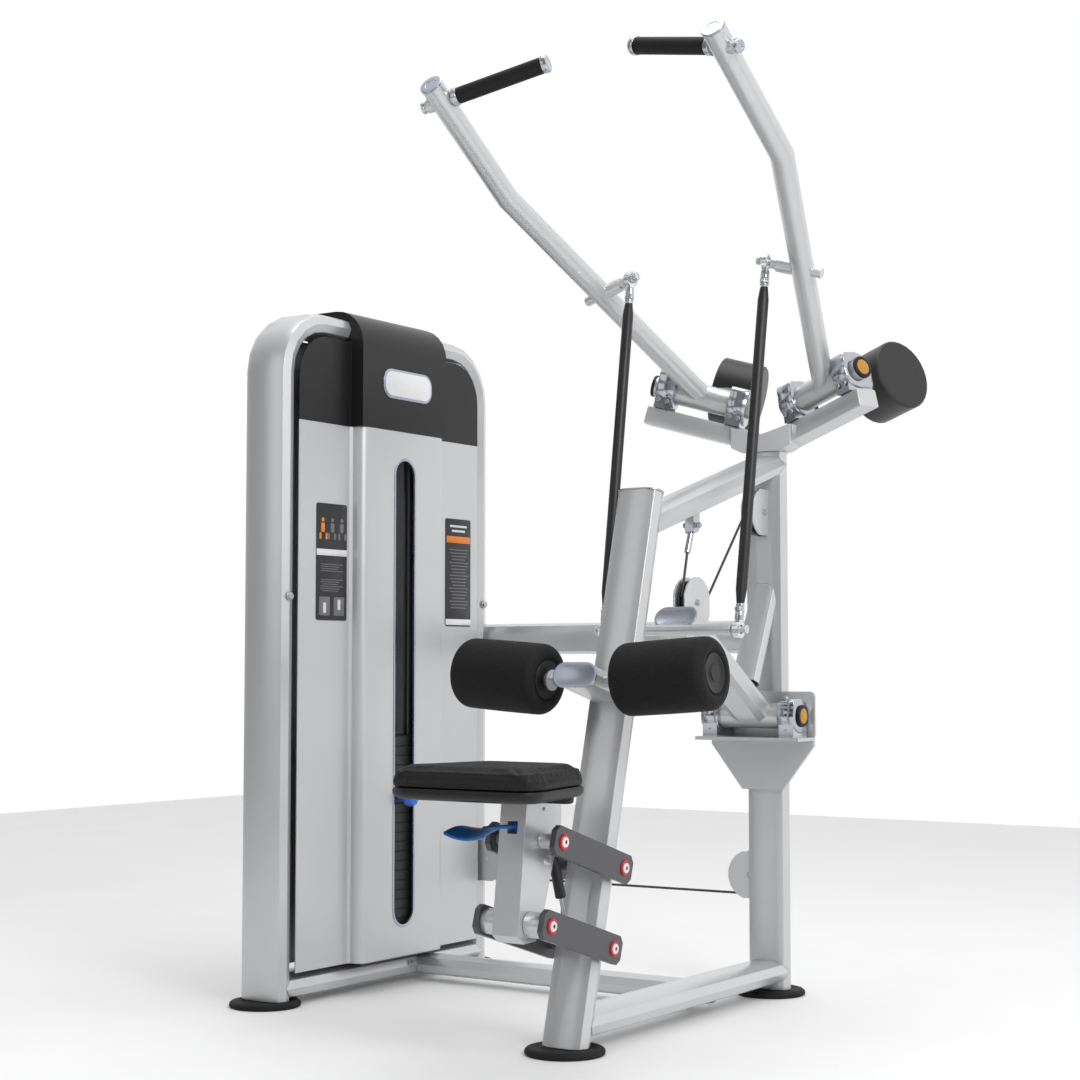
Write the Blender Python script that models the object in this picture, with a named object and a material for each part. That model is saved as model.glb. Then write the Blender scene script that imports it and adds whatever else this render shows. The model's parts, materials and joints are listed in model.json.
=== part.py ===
# Lat pulldown machine with a weight stack, diverging arms and a four-bar seat.
# Metres, +Z up. The origin is under the middle of the front post's foot, +Y is the way
# the user faces, and the weight tower stands on the user's left, at -X.
import bpy
import bmesh
from math import asin, atan2, cos, pi, radians, sin, tan
from mathutils import Matrix, Vector

for old in list(bpy.data.objects):
    bpy.data.objects.remove(old, do_unlink=True)

X = Vector((1, 0, 0))
Y = Vector((0, 1, 0))
Z = Vector((0, 0, 1))

# Clearances
gap = 0.0003            # between pieces that rest on each other
runningGap = 0.0006     # between a shaft and its bore

# Main frame tube, a flat oval with its wide side across the machine
tubeWide = 0.105
tubeThick = 0.052
tubeWall = 0.003
footRadius = 0.0815
footHeight = 0.014

# Frame layout, side view
postTilt = radians(14.7)
postLength = 1.180
uprightY = 0.88
uprightHeight = 1.280
railHeight = 0.055      # middle of the base rail
beamPostHeight = 1.07   # middle of the upper beam at the front post
beamUprightHeight = 1.25

# Weight tower
towerX = -0.872
towerNearY = 0.086
towerFarY = 0.845
towerHeight = 1.600
towerTubeWide = 0.126
towerTubeThick = 0.052
archBendRadius = 0.124
panelThickness = 0.003
panelBottom = 0.075
panelTop = towerHeight - 0.260   # the seam between the panel and the cowl
wingX = -0.808          # front face of the panel's flat wings
bulgeX = -0.772         # front face of the panel's raised middle
bulgeHalfWide = 0.163
bulgeRound = 0.022
slotHalfWide = 0.0375
slotBottom = 0.150
slotTop = panelTop - 0.070
cowlTop = towerHeight + 0.022

# Pulleys and cable
pulleyRadius = 0.045    # to the middle of the cable
pulleyRim = 0.050
pulleyWide = 0.016
cableRadius = 0.003
grooveClearance = 0.0010
cordGap = 0.0010        # between the ends of two stretches of the cable
earOffset = 0.0135      # from the middle of a pulley to its cheek plates
earThickness = 0.004
earRadius = 0.058
axleRadius = 0.006
leverPulleyY = 0.515
leverPulleyZ = 0.911
upperPulleyZ = 1.134
lowPulleyZ = 0.276
topPulleyZ = towerHeight - 0.220
cableX = -0.835         # the cable, the stack and its guide rods in the tower

# Weight stack
plateThickness = 0.023
plateDepth = 0.094
plateHalfWide = 0.132
stackBottom = 0.140
lowerPlateCount = 13
liftedPlateCount = 6
guideSpacing = 0.095    # from the middle of the stack to a guide rod
guideRadius = 0.0125
stemRadius = 0.0125
pinRadius = 0.005

# Arms, right side; the left arm mirrors it
armRadius = 0.0255
armTop = Vector((0.346, 0.006, 2.018))
armBend = Vector((0.347, 0.294, 1.828))
armPivot = Vector((0.161, 0.864, 1.423))
armAxis = Vector((0.913, -0.308, 0.266)).normalized()
shaftRadius = 0.0245
blockRadius = 0.043
blockLength = 0.044
blockOffset = 0.090     # along the axis, from the arm's pivot to a bearing block
wingDrop = 0.052        # from the pivot axis to the top of the yoke's wing
wingThick = 0.030
wingDeep = 0.085
counterweightCentre = Vector((0.205, 1.120, 1.462))
counterweightRadius = 0.087
counterweightLength = 0.110
gripRadius = 0.018
gripCoreRadius = 0.0125
handleRoot = Vector((0.346, 0.045, 1.9925))
handleEnd = Vector((0.107, 0.100, 2.050))

# Push rods between the arms and the lever
rodTop = Vector((0.176, 0.547, 1.6655))
rodBottom = Vector((0.170, 0.419, 0.8488))
rodRadius = 0.0125
eyeRadius = 0.0190
eyeHalfWide = 0.0065
ballRadius = 0.0095
openEyeClearance = 0.0052   # the rod's upper pivot is the linkage's open one
neckRadius = 0.006

# Lever
leverPivot = Vector((0, 0.808, 0.655))
leverEnd = Vector((0, 0.447, 0.877))
leverShaftRadius = 0.0235
leverBlockX = 0.100
leverBlockRadius = 0.038
leverBlockLength = 0.042
stopReach = 0.075       # along the lever, from its pivot to the stop's bumper

# Thigh rollers
thighCap = Vector((0, 0.040, 0.752))
rollerInner = Vector((0.090, 0.076, 0.742))
rollerOuter = Vector((0.302, 0.084, 0.757))
rollerRadius = 0.074
rollerAxleRadius = 0.0125

# Seat
linkPlateInner = 0.070
linkPlateOuter = 0.082
linkHalfHeight = 0.029
linkOverhang = 0.030
lowerLinkFront = Vector((0, 0.054, 0.207))
upperLinkFront = Vector((0, 0.0955, 0.3635))
linkReach = Vector((0, -0.2225, 0.068))
linkTubeRadius = 0.0235
linkPinRadius = 0.012
supportHalfWide = 0.030
supportTop = 0.516
gasTop = Vector((0, -0.062, 0.452))
gasBottom = Vector((0, 0.014, 0.225))
gasRadius = 0.011
gasRodRadius = 0.004
openLugClearance = 0.0034   # the gas spring's lower pivot is open
seatBackY = -0.375
seatFrontY = -0.095
seatBackHalf = 0.180
seatFrontHalf = 0.125
seatBaseHeight = 0.024
padHeight = 0.038


def material(name, colour, roughness, metallic):
    made = bpy.data.materials.new(name)
    made.use_nodes = True
    shader = made.node_tree.nodes['Principled BSDF']
    shader.inputs['Base Color'].default_value = (*colour, 1)
    shader.inputs['Roughness'].default_value = roughness
    shader.inputs['Metallic'].default_value = metallic
    return made


paint = material('silver_paint', (0.72, 0.72, 0.73), 0.35, 0.6)
chrome = material('chrome', (0.85, 0.86, 0.88), 0.12, 1.0)
blackPlastic = material('black_plastic', (0.03, 0.03, 0.032), 0.45, 0.0)
rubber = material('rubber', (0.015, 0.015, 0.016), 0.7, 0.0)
blackPaint = material('black_paint', (0.02, 0.02, 0.022), 0.4, 0.2)
linkPaint = material('grey_paint', (0.09, 0.09, 0.095), 0.45, 0.2)
steel = material('steel', (0.55, 0.55, 0.56), 0.3, 1.0)
platePaint = material('plate_paint', (0.03, 0.03, 0.032), 0.55, 0.1)
cablePlastic = material('cable_plastic', (0.02, 0.02, 0.02), 0.35, 0.0)
bluePlastic = material('blue_plastic', (0.02, 0.16, 0.55), 0.4, 0.0)
upholstery = material('upholstery', (0.02, 0.02, 0.021), 0.6, 0.0)
foam = material('foam', (0.015, 0.015, 0.016), 0.8, 0.0)
pulleyPlastic = material('pulley_plastic', (0.05, 0.05, 0.055), 0.4, 0.0)


# Mesh makers. Each returns a linked object, which cut and fuse join to others.

def solid(bm):
    bmesh.ops.recalc_face_normals(bm, faces=bm.faces)
    mesh = bpy.data.meshes.new('solid')
    bm.to_mesh(mesh)
    bm.free()
    made = bpy.data.objects.new('solid', mesh)
    bpy.context.scene.collection.objects.link(made)
    return made


def circle(radius, steps=12):
    return [(radius * cos(2 * pi * k / steps), radius * sin(2 * pi * k / steps))
            for k in range(steps)]


def oval(wide, thick, steps=5):
    reach = (wide - thick) / 2
    right = [(reach + thick / 2 * cos(a), thick / 2 * sin(a))
             for a in (-pi / 2 + pi * k / (steps - 1) for k in range(steps))]
    return right + [(-x, -y) for x, y in right]


def rectangle(wide, thick):
    return [(wide / 2, thick / 2), (-wide / 2, thick / 2),
            (-wide / 2, -thick / 2), (wide / 2, -thick / 2)]


def rings(bm, points, section, wideAxis, planes):
    made = []
    for k, point in enumerate(points):
        along = (points[k] - points[k - 1]) if k else (points[1] - points[0])
        along = along.normalized()
        depthAxis = along.cross(wideAxis).normalized()
        wide = depthAxis.cross(along)
        ring = []
        for u, v in section:
            spot = wide * u + depthAxis * v
            spot -= along * (spot.dot(planes[k]) / along.dot(planes[k]))
            ring.append(bm.verts.new(point + spot))
        made.append(ring)
    return made


def skin(bm, made):
    for low, high in zip(made, made[1:]):
        for k in range(len(low)):
            after = (k + 1) % len(low)
            bm.faces.new((low[k], low[after], high[after], high[k]))


def sweep(points, section, wideAxis, startPlane=None, endPlane=None, bore=None, endWall=0):
    # bore is the inner section of a tube, open at its start, and at its end unless endWall
    points = [Vector(p) for p in points]
    steps = [(b - a).normalized() for a, b in zip(points, points[1:])]
    planes = [startPlane or steps[0]]
    planes += [(a + b).normalized() for a, b in zip(steps, steps[1:])]
    planes.append(endPlane or steps[-1])
    bm = bmesh.new()
    outer = rings(bm, points, section, wideAxis, planes)
    skin(bm, outer)
    if not bore:
        bm.faces.new(outer[0])
        bm.faces.new(outer[-1])
        return solid(bm)
    innerPoints = list(points)
    innerPoints[-1] = points[-1] - steps[-1] * endWall
    inner = rings(bm, innerPoints, bore, wideAxis, planes)
    skin(bm, inner)
    skin(bm, [outer[0], inner[0]])
    if endWall:
        bm.faces.new(outer[-1])
        bm.faces.new(inner[-1])
    else:
        skin(bm, [outer[-1], inner[-1]])
    return solid(bm)


def across(direction):
    # any unit vector square to the direction
    guide = Z if abs(direction.normalized().z) < 0.9 else X
    return direction.cross(guide).normalized()


def rod(start, end, radius, steps=12):
    start, end = Vector(start), Vector(end)
    return sweep([start, end], circle(radius, steps), across(end - start))


def turned(profile, start, direction, steps=16, closed=False):
    # profile holds (along, radius) pairs, turned about the line through start
    direction = direction.normalized()
    side = across(direction)
    other = direction.cross(side)
    bm = bmesh.new()
    made = []
    for k in range(steps):
        a = 2 * pi * k / steps
        out = side * cos(a) + other * sin(a)
        made.append([bm.verts.new(start + direction * t + out * r) for t, r in profile])
    count = len(profile)
    for k in range(steps):
        here, there = made[k], made[(k + 1) % steps]
        for j in range(count if closed else count - 1):
            after = (j + 1) % count
            bm.faces.new((here[j], here[after], there[after], there[j]))
    if not closed:
        bm.faces.new([ring[0] for ring in made])
        bm.faces.new([ring[-1] for ring in made])
    return solid(bm)


def prism(outline, along, place):
    # place turns an outline's (u, v) into a point; along is the extrusion
    bm = bmesh.new()
    low = [bm.verts.new(place(u, v)) for u, v in outline]
    high = [bm.verts.new(place(u, v) + along) for u, v in outline]
    skin(bm, [low, high])
    bm.faces.new(low)
    bm.faces.new(high)
    return solid(bm)


def block(low, high, grow=0):
    low = [v - grow for v in low]
    high = [v + grow for v in high]
    outline = [(low[0], low[1]), (high[0], low[1]), (high[0], high[1]), (low[0], high[1])]
    return prism(outline, Z * (high[2] - low[2]), lambda u, v: Vector((u, v, low[2])))


def arc(centre, radius, start, end, steps):
    return [(centre[0] + radius * cos(a), centre[1] + radius * sin(a))
            for a in (radians(start + (end - start) * k / steps) for k in range(steps + 1))]


def combine(target, tool, operation):
    changer = target.modifiers.new('combine', 'BOOLEAN')
    changer.operation = operation
    changer.object = tool
    changer.solver = 'EXACT'
    bpy.context.view_layer.update()
    graph = bpy.context.evaluated_depsgraph_get()
    mesh = bpy.data.meshes.new_from_object(target.evaluated_get(graph))
    target.modifiers.clear()
    target.data = mesh
    bpy.data.objects.remove(tool, do_unlink=True)
    return target


def cut(target, *tools):
    for tool in tools:
        combine(target, tool, 'DIFFERENCE')
    return target


def fuse(target, *tools):
    for tool in tools:
        combine(target, tool, 'UNION')
    return target


def mirrored(source):
    mesh = source.data.copy()
    mesh.transform(Matrix.Scale(-1, 4, X))
    mesh.flip_normals()
    made = bpy.data.objects.new('solid', mesh)
    bpy.context.scene.collection.objects.link(made)
    return made


def finish(made, name, look):
    made.name = name
    made.data.name = name
    bm = bmesh.new()
    bm.from_mesh(made.data)
    bmesh.ops.remove_doubles(bm, verts=bm.verts, dist=0.000002)
    bm.to_mesh(made.data)
    bm.free()
    made.data.materials.clear()
    made.data.materials.append(look)
    made.data.shade_smooth()
    made.data.set_sharp_from_angle(angle=radians(35))
    return made


def hang(pivotName, place, pieces):
    # pieces turn about, or slide with, an empty on their joint's axis
    empty = bpy.data.objects.new(pivotName, None)
    bpy.context.scene.collection.objects.link(empty)
    empty.location = place
    for piece in pieces:
        piece.parent = empty
        piece.matrix_parent_inverse = Matrix.Translation(-Vector(place))


def flip(v):
    return Vector((-v[0], v[1], v[2]))


# Frame

postDirection = Vector((0, sin(postTilt), cos(postTilt)))
postTop = postDirection * postLength


def postY(z):
    return z * tan(postTilt)


def frameTube(points, grow=0, **ends):
    section = oval(tubeWide + 2 * grow, tubeThick + 2 * grow)
    bore = None if grow else oval(tubeWide - 2 * tubeWall, tubeThick - 2 * tubeWall)
    return sweep(points, section, X, bore=bore, **ends)


def frontPost(grow=0):
    z = footHeight + gap
    ends = {} if grow else {'endWall': tubeWall}
    return frameTube([(0, postY(z), z), postTop], grow, startPlane=Z, **ends)


def rearUpright(grow=0):
    top = uprightHeight - gap
    return frameTube([(0, uprightY, footHeight + gap), (0, uprightY, top)], grow)


def seatPinBore(pin):
    reach = tubeWide
    return rod(pin - X * reach, pin + X * reach, linkPinRadius + runningGap, 24)


def pulleyEars(centre, axis, outward, inward=0.030):
    # two D-shaped cheek plates with the pulley's axle between them
    rim = [(earRadius * cos(radians(a)), earRadius * sin(radians(a))) for a in range(-70, 71, 20)]
    outline = rim + [(-inward, rim[-1][1]), (-inward, rim[0][1])]
    half = earOffset + earThickness
    side = axis.cross(outward)
    made = rod(centre - axis * half, centre + axis * half, axleRadius, 12)
    for sign in (-1, 1):
        start = sign * earOffset - earThickness / 2
        fuse(made, prism(outline, axis * earThickness,
                         lambda u, v: centre + outward * u + side * v + axis * start))
    return made


def pulleyDisc(centre, axis):
    half = pulleyWide / 2
    groove = cableRadius + grooveClearance
    bottom = pulleyRadius - groove
    bore = axleRadius + runningGap
    profile = [(-half, bore), (-half, pulleyRim), (-groove * 1.2, pulleyRim), (-groove, bottom),
               (groove, bottom), (groove * 1.2, pulleyRim), (half, pulleyRim), (half, bore)]
    return turned(profile, centre, axis, closed=True)


upperPulley = Vector((0, uprightY - pulleyRadius, upperPulleyZ))
lowPulley = Vector((-pulleyRadius, uprightY, lowPulleyZ))
legPulley = Vector((cableX + pulleyRadius, towerFarY, lowPulleyZ))
leverPulley = Vector((0, leverPulleyY, leverPulleyZ))
stackY = (towerNearY + towerFarY) / 2
topRearPulley = Vector((cableX, towerFarY - pulleyRadius, topPulleyZ))
topStackPulley = Vector((cableX, stackY + pulleyRadius, topPulleyZ))
slotHalf = earOffset + earThickness / 2 - 0.001     # the cheeks are welded to the slot's edges
slotReach = pulleyRim + 0.004
uprightFace = uprightY - tubeThick / 2


feet = []
footSpots = {'front_foot': (0, 0), 'rear_foot': (0, uprightY),
             'tower_near_foot': (towerX, towerNearY), 'tower_far_foot': (towerX, towerFarY)}
for name, (x, y) in footSpots.items():
    lip = 0.004
    made = turned([(0, footRadius - lip / 2), (lip, footRadius), (footHeight - lip, footRadius - lip / 2),
                   (footHeight, footRadius - 3 * lip)], Vector((x, y, 0)), Z, 20)
    feet.append(finish(made, name, rubber))

frontPostTube = frontPost()
cut(frontPostTube, seatPinBore(lowerLinkFront), seatPinBore(upperLinkFront))

# lug for the gas spring's lower pivot, on the post's front face
postFace = Vector((0, postY(gasBottom.z), gasBottom.z)) - Y * (tubeThick / 2 / cos(postTilt))
lugRadius = 0.004
lug = rod(gasBottom - X * 0.020, gasBottom + X * 0.020, lugRadius, 12)
for sign in (-1, 1):
    cheek = [(gasBottom.y - 0.010, gasBottom.z - 0.010), (postFace.y + 0.006, gasBottom.z - 0.018),
             (postFace.y + 0.008, gasBottom.z + 0.016), (gasBottom.y - 0.010, gasBottom.z + 0.010)]
    fuse(lug, prism(cheek, X * 0.004, lambda u, v: Vector((sign * 0.018 - 0.002, u, v))))
inside = frameTube([(0, postY(0.1), 0.1), postDirection * 0.5], -tubeWall)
cut(lug, inside)
fuse(frontPostTube, lug)
finish(frontPostTube, 'front_post', paint)

# the upright carries the cheek plates of its two pulleys
upright = rearUpright()
cut(upright, block((-slotHalf, uprightFace - tubeThick, upperPulleyZ - slotReach),
                   (slotHalf, uprightY, upperPulleyZ + slotReach)))
cut(upright, block((-tubeWide, uprightY - slotHalf, lowPulleyZ - slotReach),
                   (-pulleyRadius / 2, uprightY + slotHalf, lowPulleyZ + slotReach)))
fuse(upright, pulleyEars(upperPulley, X, -Y))
fuse(upright, pulleyEars(lowPulley, Y, -X))
finish(upright, 'rear_upright', paint)

baseRail = frameTube([(0, postY(railHeight), railHeight), (0, uprightY, railHeight)])
cut(baseRail, frontPost(gap), rearUpright(gap))
finish(baseRail, 'base_rail', paint)

beamStart = Vector((0, postY(beamPostHeight), beamPostHeight))
beamEnd = Vector((0, uprightY, beamUprightHeight))
beamDirection = (beamEnd - beamStart).normalized()
upperBeam = frameTube([beamStart, beamEnd])
cut(upperBeam, frontPost(gap), rearUpright(gap))
finish(upperBeam, 'upper_beam', paint)

# clevis under the upper beam, where the cable starts
forkEnd = Vector((0, 0.497, 1.022))
forkY = 0.520
forkHead = beamStart + beamDirection * ((forkY - beamStart.y) / beamDirection.y)
forkTop = forkHead - Z * (tubeThick / 2 / beamDirection.y + gap)
fork = rod(forkEnd, forkTop - Z * 0.030, 0.007, 12)
forkBlock = [(-0.014, 0), (-0.014, -0.040), (-0.009, -0.046), (0.009, -0.046), (0.014, -0.040), (0.014, 0)]
fuse(fork, prism(forkBlock, X * 0.022,
                 lambda u, v: forkTop + Y * u + Z * (v + u * beamDirection.z) - X * 0.011))
fuse(fork, rod(forkTop - Z * 0.030 - X * 0.017, forkTop - Z * 0.030 + X * 0.017, 0.006, 12))
finish(fork, 'cable_fork', chrome)

# Yoke: a centre block on the upright and a wing under each arm's bearing blocks
wingUp = (Z - armAxis * Z.dot(armAxis)).normalized()
wingDepth = armAxis.cross(wingUp)
wingReach = blockOffset + blockLength / 2 + 0.012


def wing():
    middle = armPivot - wingUp * (wingDrop + wingThick / 2)
    ends = [middle - armAxis * (wingReach + 0.02), middle + armAxis * wingReach]
    return sweep(ends, rectangle(wingDeep, wingThick), wingDepth)


yokeHalfDeep = 0.042
yoke = block((-0.085, uprightY - yokeHalfDeep, uprightHeight),
             (0.085, uprightY + yokeHalfDeep, uprightHeight + 0.052))
rightWing = wing()
fuse(yoke, mirrored(rightWing), rightWing)
finish(yoke, 'yoke', paint)


def bearingBlock(along):
    centre = armPivot + armAxis * along
    half = blockLength / 2
    chamfer = 0.003
    made = turned([(-half, blockRadius - chamfer), (-half + chamfer, blockRadius),
                   (half - chamfer, blockRadius), (half, blockRadius - chamfer)], centre, armAxis, 20)
    foot = [(-0.040, -wingDrop + gap), (0.040, -wingDrop + gap), (0.036, -0.010), (-0.036, -0.010)]
    fuse(made, prism(foot, armAxis * (blockLength - 0.006),
                     lambda u, v: centre + wingDepth * u + wingUp * v - armAxis * (half - 0.003)))
    bore = rod(centre - armAxis * blockLength, centre + armAxis * blockLength,
               shaftRadius + runningGap, 20)
    return cut(made, bore)


for place, along in (('inner', -blockOffset), ('outer', blockOffset)):
    right = bearingBlock(along)
    finish(mirrored(right), 'bearing_left_' + place, chrome)
    finish(right, 'bearing_right_' + place, chrome)

# Arms. The arm, its shaft, the rod's stub, the handle's core and the counterweight's
# carrier are welded together.
handleAxis = (handleEnd - handleRoot).normalized()
handleLength = (handleEnd - handleRoot).length
armLine = (armPivot - armBend).normalized()
stubRoot = armBend + armLine * (rodTop - armBend).dot(armLine)
stubAxis = (rodTop - stubRoot).normalized()
collarLength = 0.012


def weight(grow=0):
    radius = counterweightRadius + grow
    half = counterweightLength / 2 + grow
    bevel = 0.004
    return turned([(-half, radius - bevel), (-half + bevel, radius), (half - bevel, radius),
                   (half, radius - bevel)], counterweightCentre, armAxis, 28)


def ballEnd(centre, axis, stem):
    # a shoulder, a neck with its ball, and a nut; stem is the shoulder's length
    neck = 0.015
    lead = asin(neckRadius / ballRadius)
    ball = [(-ballRadius * cos(a), ballRadius * sin(a))
            for a in (lead + (pi - 2 * lead) * k / 4 for k in range(5))]
    profile = [(-neck - stem, 0.0115), (-neck, 0.0115), (-neck, neckRadius), *ball,
               (neck, neckRadius), (neck, 0.0095), (neck + 0.006, 0.0095)]
    return turned(profile, centre, axis, 10)


def makeArm():
    made = sweep([armTop, armBend, armPivot], circle(armRadius, 16), X)
    shaft = [(-0.128, shaftRadius - 0.002), (-0.126, shaftRadius), (-0.0675, shaftRadius),
             (-0.0670, 0.032), (0.0670, 0.032), (0.0675, shaftRadius), (0.126, shaftRadius),
             (0.128, shaftRadius - 0.002)]
    fuse(made, turned(shaft, armPivot, armAxis, 20))
    carrier = rod(armPivot, counterweightCentre, 0.022, 12)
    cut(carrier, weight(gap))
    fuse(made, carrier)
    fuse(made, ballEnd(rodTop, stubAxis, 0.02))
    fuse(made, rod(stubRoot, rodTop - stubAxis * 0.028, 0.016, 12))
    fuse(made, rod(stubRoot - stubAxis * 0.046, stubRoot, 0.0115, 12))
    fuse(made, rod(handleRoot - handleAxis * 0.040, handleEnd, gripCoreRadius, 14))
    fuse(made, rod(handleRoot - handleAxis * 0.034, handleRoot, 0.016, 12))
    for start in (armRadius + 0.001, handleLength - collarLength):
        a = handleRoot + handleAxis * start
        fuse(made, rod(a, a + handleAxis * collarLength, gripRadius + 0.001, 14))
    return made


def makeGrip():
    low = armRadius + 0.001 + collarLength + gap
    high = handleLength - collarLength - gap
    inner = gripCoreRadius + gap
    return turned([(low, inner), (low, gripRadius), (high, gripRadius), (high, inner)],
                  handleRoot, handleAxis, 14, closed=True)


rodAxis = (rodTop - rodBottom).normalized()
rodLength = (rodTop - rodBottom).length
eyeSide = (X - rodAxis * X.dot(rodAxis)).normalized()
topEyeSide = (stubAxis - rodAxis * stubAxis.dot(rodAxis)).normalized()


def makeRod():
    # a tapered bar with a threaded stud, a lock nut and an eye at each end
    low, high = 0.052, rodLength - 0.052
    stud = 0.0055
    taper = 0.035
    made = turned([(low, 0.008), (low + taper, rodRadius), (high - taper, rodRadius), (high, 0.008)],
                  rodBottom, rodAxis, 14)
    for centre, side, way, hole in ((rodBottom, eyeSide, 1, ballRadius + runningGap),
                                    (rodTop, topEyeSide, -1, ballRadius + openEyeClearance)):
        along = rodAxis * way
        fuse(made, rod(centre + along * (eyeRadius - 0.003), centre + along * 0.056, stud, 10))
        fuse(made, rod(centre + along * 0.040, centre + along * 0.048, 0.0105, 6))
        eye = rod(centre - side * eyeHalfWide, centre + side * eyeHalfWide, eyeRadius, 14)
        fuse(eye, rod(centre + along * (eyeRadius - 0.003), centre + along * 0.040, 0.0085, 10))
        cut(eye, rod(centre - side * 0.02, centre + side * 0.02, hole, 14))
        fuse(made, eye)
    return made


leftArm = []
rightArm = []
leftRod = []
rightRod = []
for maker, name, look, rightList, leftList in (
        (makeArm, 'arm', paint, rightArm, leftArm),
        (weight, 'counterweight', blackPaint, rightArm, leftArm),
        (makeGrip, 'grip', rubber, rightArm, leftArm),
        (makeRod, 'push_rod', blackPaint, rightRod, leftRod)):
    right = maker()
    leftList.append(finish(mirrored(right), name + '_left', look))
    rightList.append(finish(right, name + '_right', look))
hang('arm_right_pivot', armPivot, rightArm)
hang('arm_left_pivot', flip(armPivot), leftArm)
hang('rod_right_pivot', rodBottom, rightRod)
hang('rod_left_pivot', flip(rodBottom), leftRod)

# Lever bracket on the upright's front: a tapered plate, a shelf and two bearing blocks
plateFront = uprightFace - gap
shelfZ = leverPivot.z - leverBlockRadius - 0.012
bracketPlate = [(-0.135, shelfZ), (0.135, shelfZ), (0.135, shelfZ - 0.020), (0.053, 0.480), (-0.053, 0.480),
                (-0.135, shelfZ - 0.020)]
bracket = prism(bracketPlate, -Y * 0.008, lambda u, v: Vector((u, plateFront, v)))
fuse(bracket, block((-0.135, leverPivot.y - 0.042, shelfZ - 0.008), (0.135, plateFront - 0.001, shelfZ)))
for sign in (-1, 1):
    centre = leverPivot + X * (sign * leverBlockX)
    half = leverBlockLength / 2
    fuse(bracket, turned([(-half, leverBlockRadius - 0.003), (0.003 - half, leverBlockRadius),
                          (half - 0.003, leverBlockRadius), (half, leverBlockRadius - 0.003)], centre, X, 20))
    fuse(bracket, block((centre.x - half + 0.002, centre.y - 0.034, shelfZ - 0.002),
                        (centre.x + half - 0.002, centre.y + 0.034, centre.z - 0.010)))
cut(bracket, rod(leverPivot - X * 0.2, leverPivot + X * 0.2, leverShaftRadius + runningGap, 20))
finish(bracket, 'lever_bracket', chrome)

leverDirection = (leverEnd - leverPivot).normalized()
leverNormal = X.cross(leverDirection)
if leverNormal.z < 0:
    leverNormal = -leverNormal
lever = sweep([leverPivot, leverEnd], oval(tubeWide, tubeThick), X)
shaftHalf = leverBlockX + leverBlockLength / 2 + 0.006
hubHalf = leverBlockX - leverBlockLength / 2 - 0.001
fuse(lever, rod(leverPivot - X * shaftHalf, leverPivot + X * shaftHalf, leverShaftRadius, 20))
fuse(lever, rod(leverPivot - X * hubHalf, leverPivot + X * hubHalf, 0.030, 20))
crossHalf = rodBottom.x - 0.017
fuse(lever, rod((-crossHalf, rodBottom.y, rodBottom.z), (crossHalf, rodBottom.y, rodBottom.z), 0.012, 12))
# a saddle under the beam's end holds the cross shaft
crossShaft = Vector((0, rodBottom.y, rodBottom.z))
saddle = [leverEnd - leverDirection * 0.050 - leverNormal * 0.020,
          leverEnd - leverDirection * 0.002 - leverNormal * 0.020,
          crossShaft + leverDirection * 0.008, crossShaft - leverDirection * 0.024 - leverNormal * 0.006]
fuse(lever, prism([(p.y, p.z) for p in saddle], X * 0.070, lambda u, v: Vector((-0.035, u, v))))
for sign in (-1, 1):
    centre = Vector((sign * rodBottom.x, rodBottom.y, rodBottom.z))
    fuse(lever, ballEnd(centre, X * sign, 0.01))
leverEars = pulleyEars(leverPulley, X, Z)
root = leverPivot + leverDirection * ((leverPivot.y - leverPulleyY) / -leverDirection.y)
for sign in (-1, 1):
    x = sign * earOffset - earThickness / 2
    fuse(leverEars, block((x, leverPulleyY - 0.050, root.z - 0.010),
                          (x + earThickness, leverPulleyY + 0.050, leverPulleyZ)))
pocketHalf = pulleyWide / 2 + 0.0025
cut(lever, rod(leverPulley - X * pocketHalf, leverPulley + X * pocketHalf, pulleyRim + 0.003, 24))
fuse(lever, leverEars)
finish(lever, 'lever', paint)
leverDisc = finish(pulleyDisc(leverPulley, X), 'lever_pulley', pulleyPlastic)

# Stop under the upright's pulley, with a bumper for the lever
contact = leverPivot + leverDirection * stopReach + leverNormal * (tubeThick / 2 + gap)
bumperHeight = 0.016
stopFoot = contact + leverNormal * (bumperHeight + gap)
stopHead = Vector((0, uprightY, 0.975))
stopTube = sweep([stopFoot, stopHead], oval(0.070, 0.040), X,
                 startPlane=leverNormal, bore=oval(0.064, 0.034))
cut(stopTube, rearUpright(gap))
finish(stopTube, 'lever_stop', paint)
bumper = sweep([contact, contact + leverNormal * bumperHeight], oval(0.060, 0.034), X)
finish(bumper, 'stop_bumper', rubber)
hang('lever_pivot', leverPivot, [lever])
hang('lever_pulley_axle', leverPulley, [leverDisc])

# Thigh beam, square to the post, with an axle for each roller
beamBack = Vector((0, cos(postTilt), -sin(postTilt)))
thighReach = (thighCap.z * tan(postTilt) - thighCap.y) / (cos(postTilt) + sin(postTilt) * tan(postTilt))
thighBeam = sweep([thighCap + beamBack * thighReach, thighCap], oval(tubeWide, tubeThick), X,
                  bore=oval(tubeWide - 2 * tubeWall, tubeThick - 2 * tubeWall), endWall=tubeWall)
cut(thighBeam, frontPost(gap))
rollerAxis = (rollerOuter - rollerInner).normalized()
axleRoot = rollerInner - rollerAxis * (rollerInner.x - tubeWide / 2 + 0.006)
axleEnd = rollerOuter - rollerAxis * 0.012


def rollerAxle():
    made = rod(axleRoot, axleEnd, rollerAxleRadius, 14)
    collar = rollerInner - rollerAxis * 0.006
    return fuse(made, rod(collar - rollerAxis * 0.006, collar, 0.022, 14))


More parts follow.
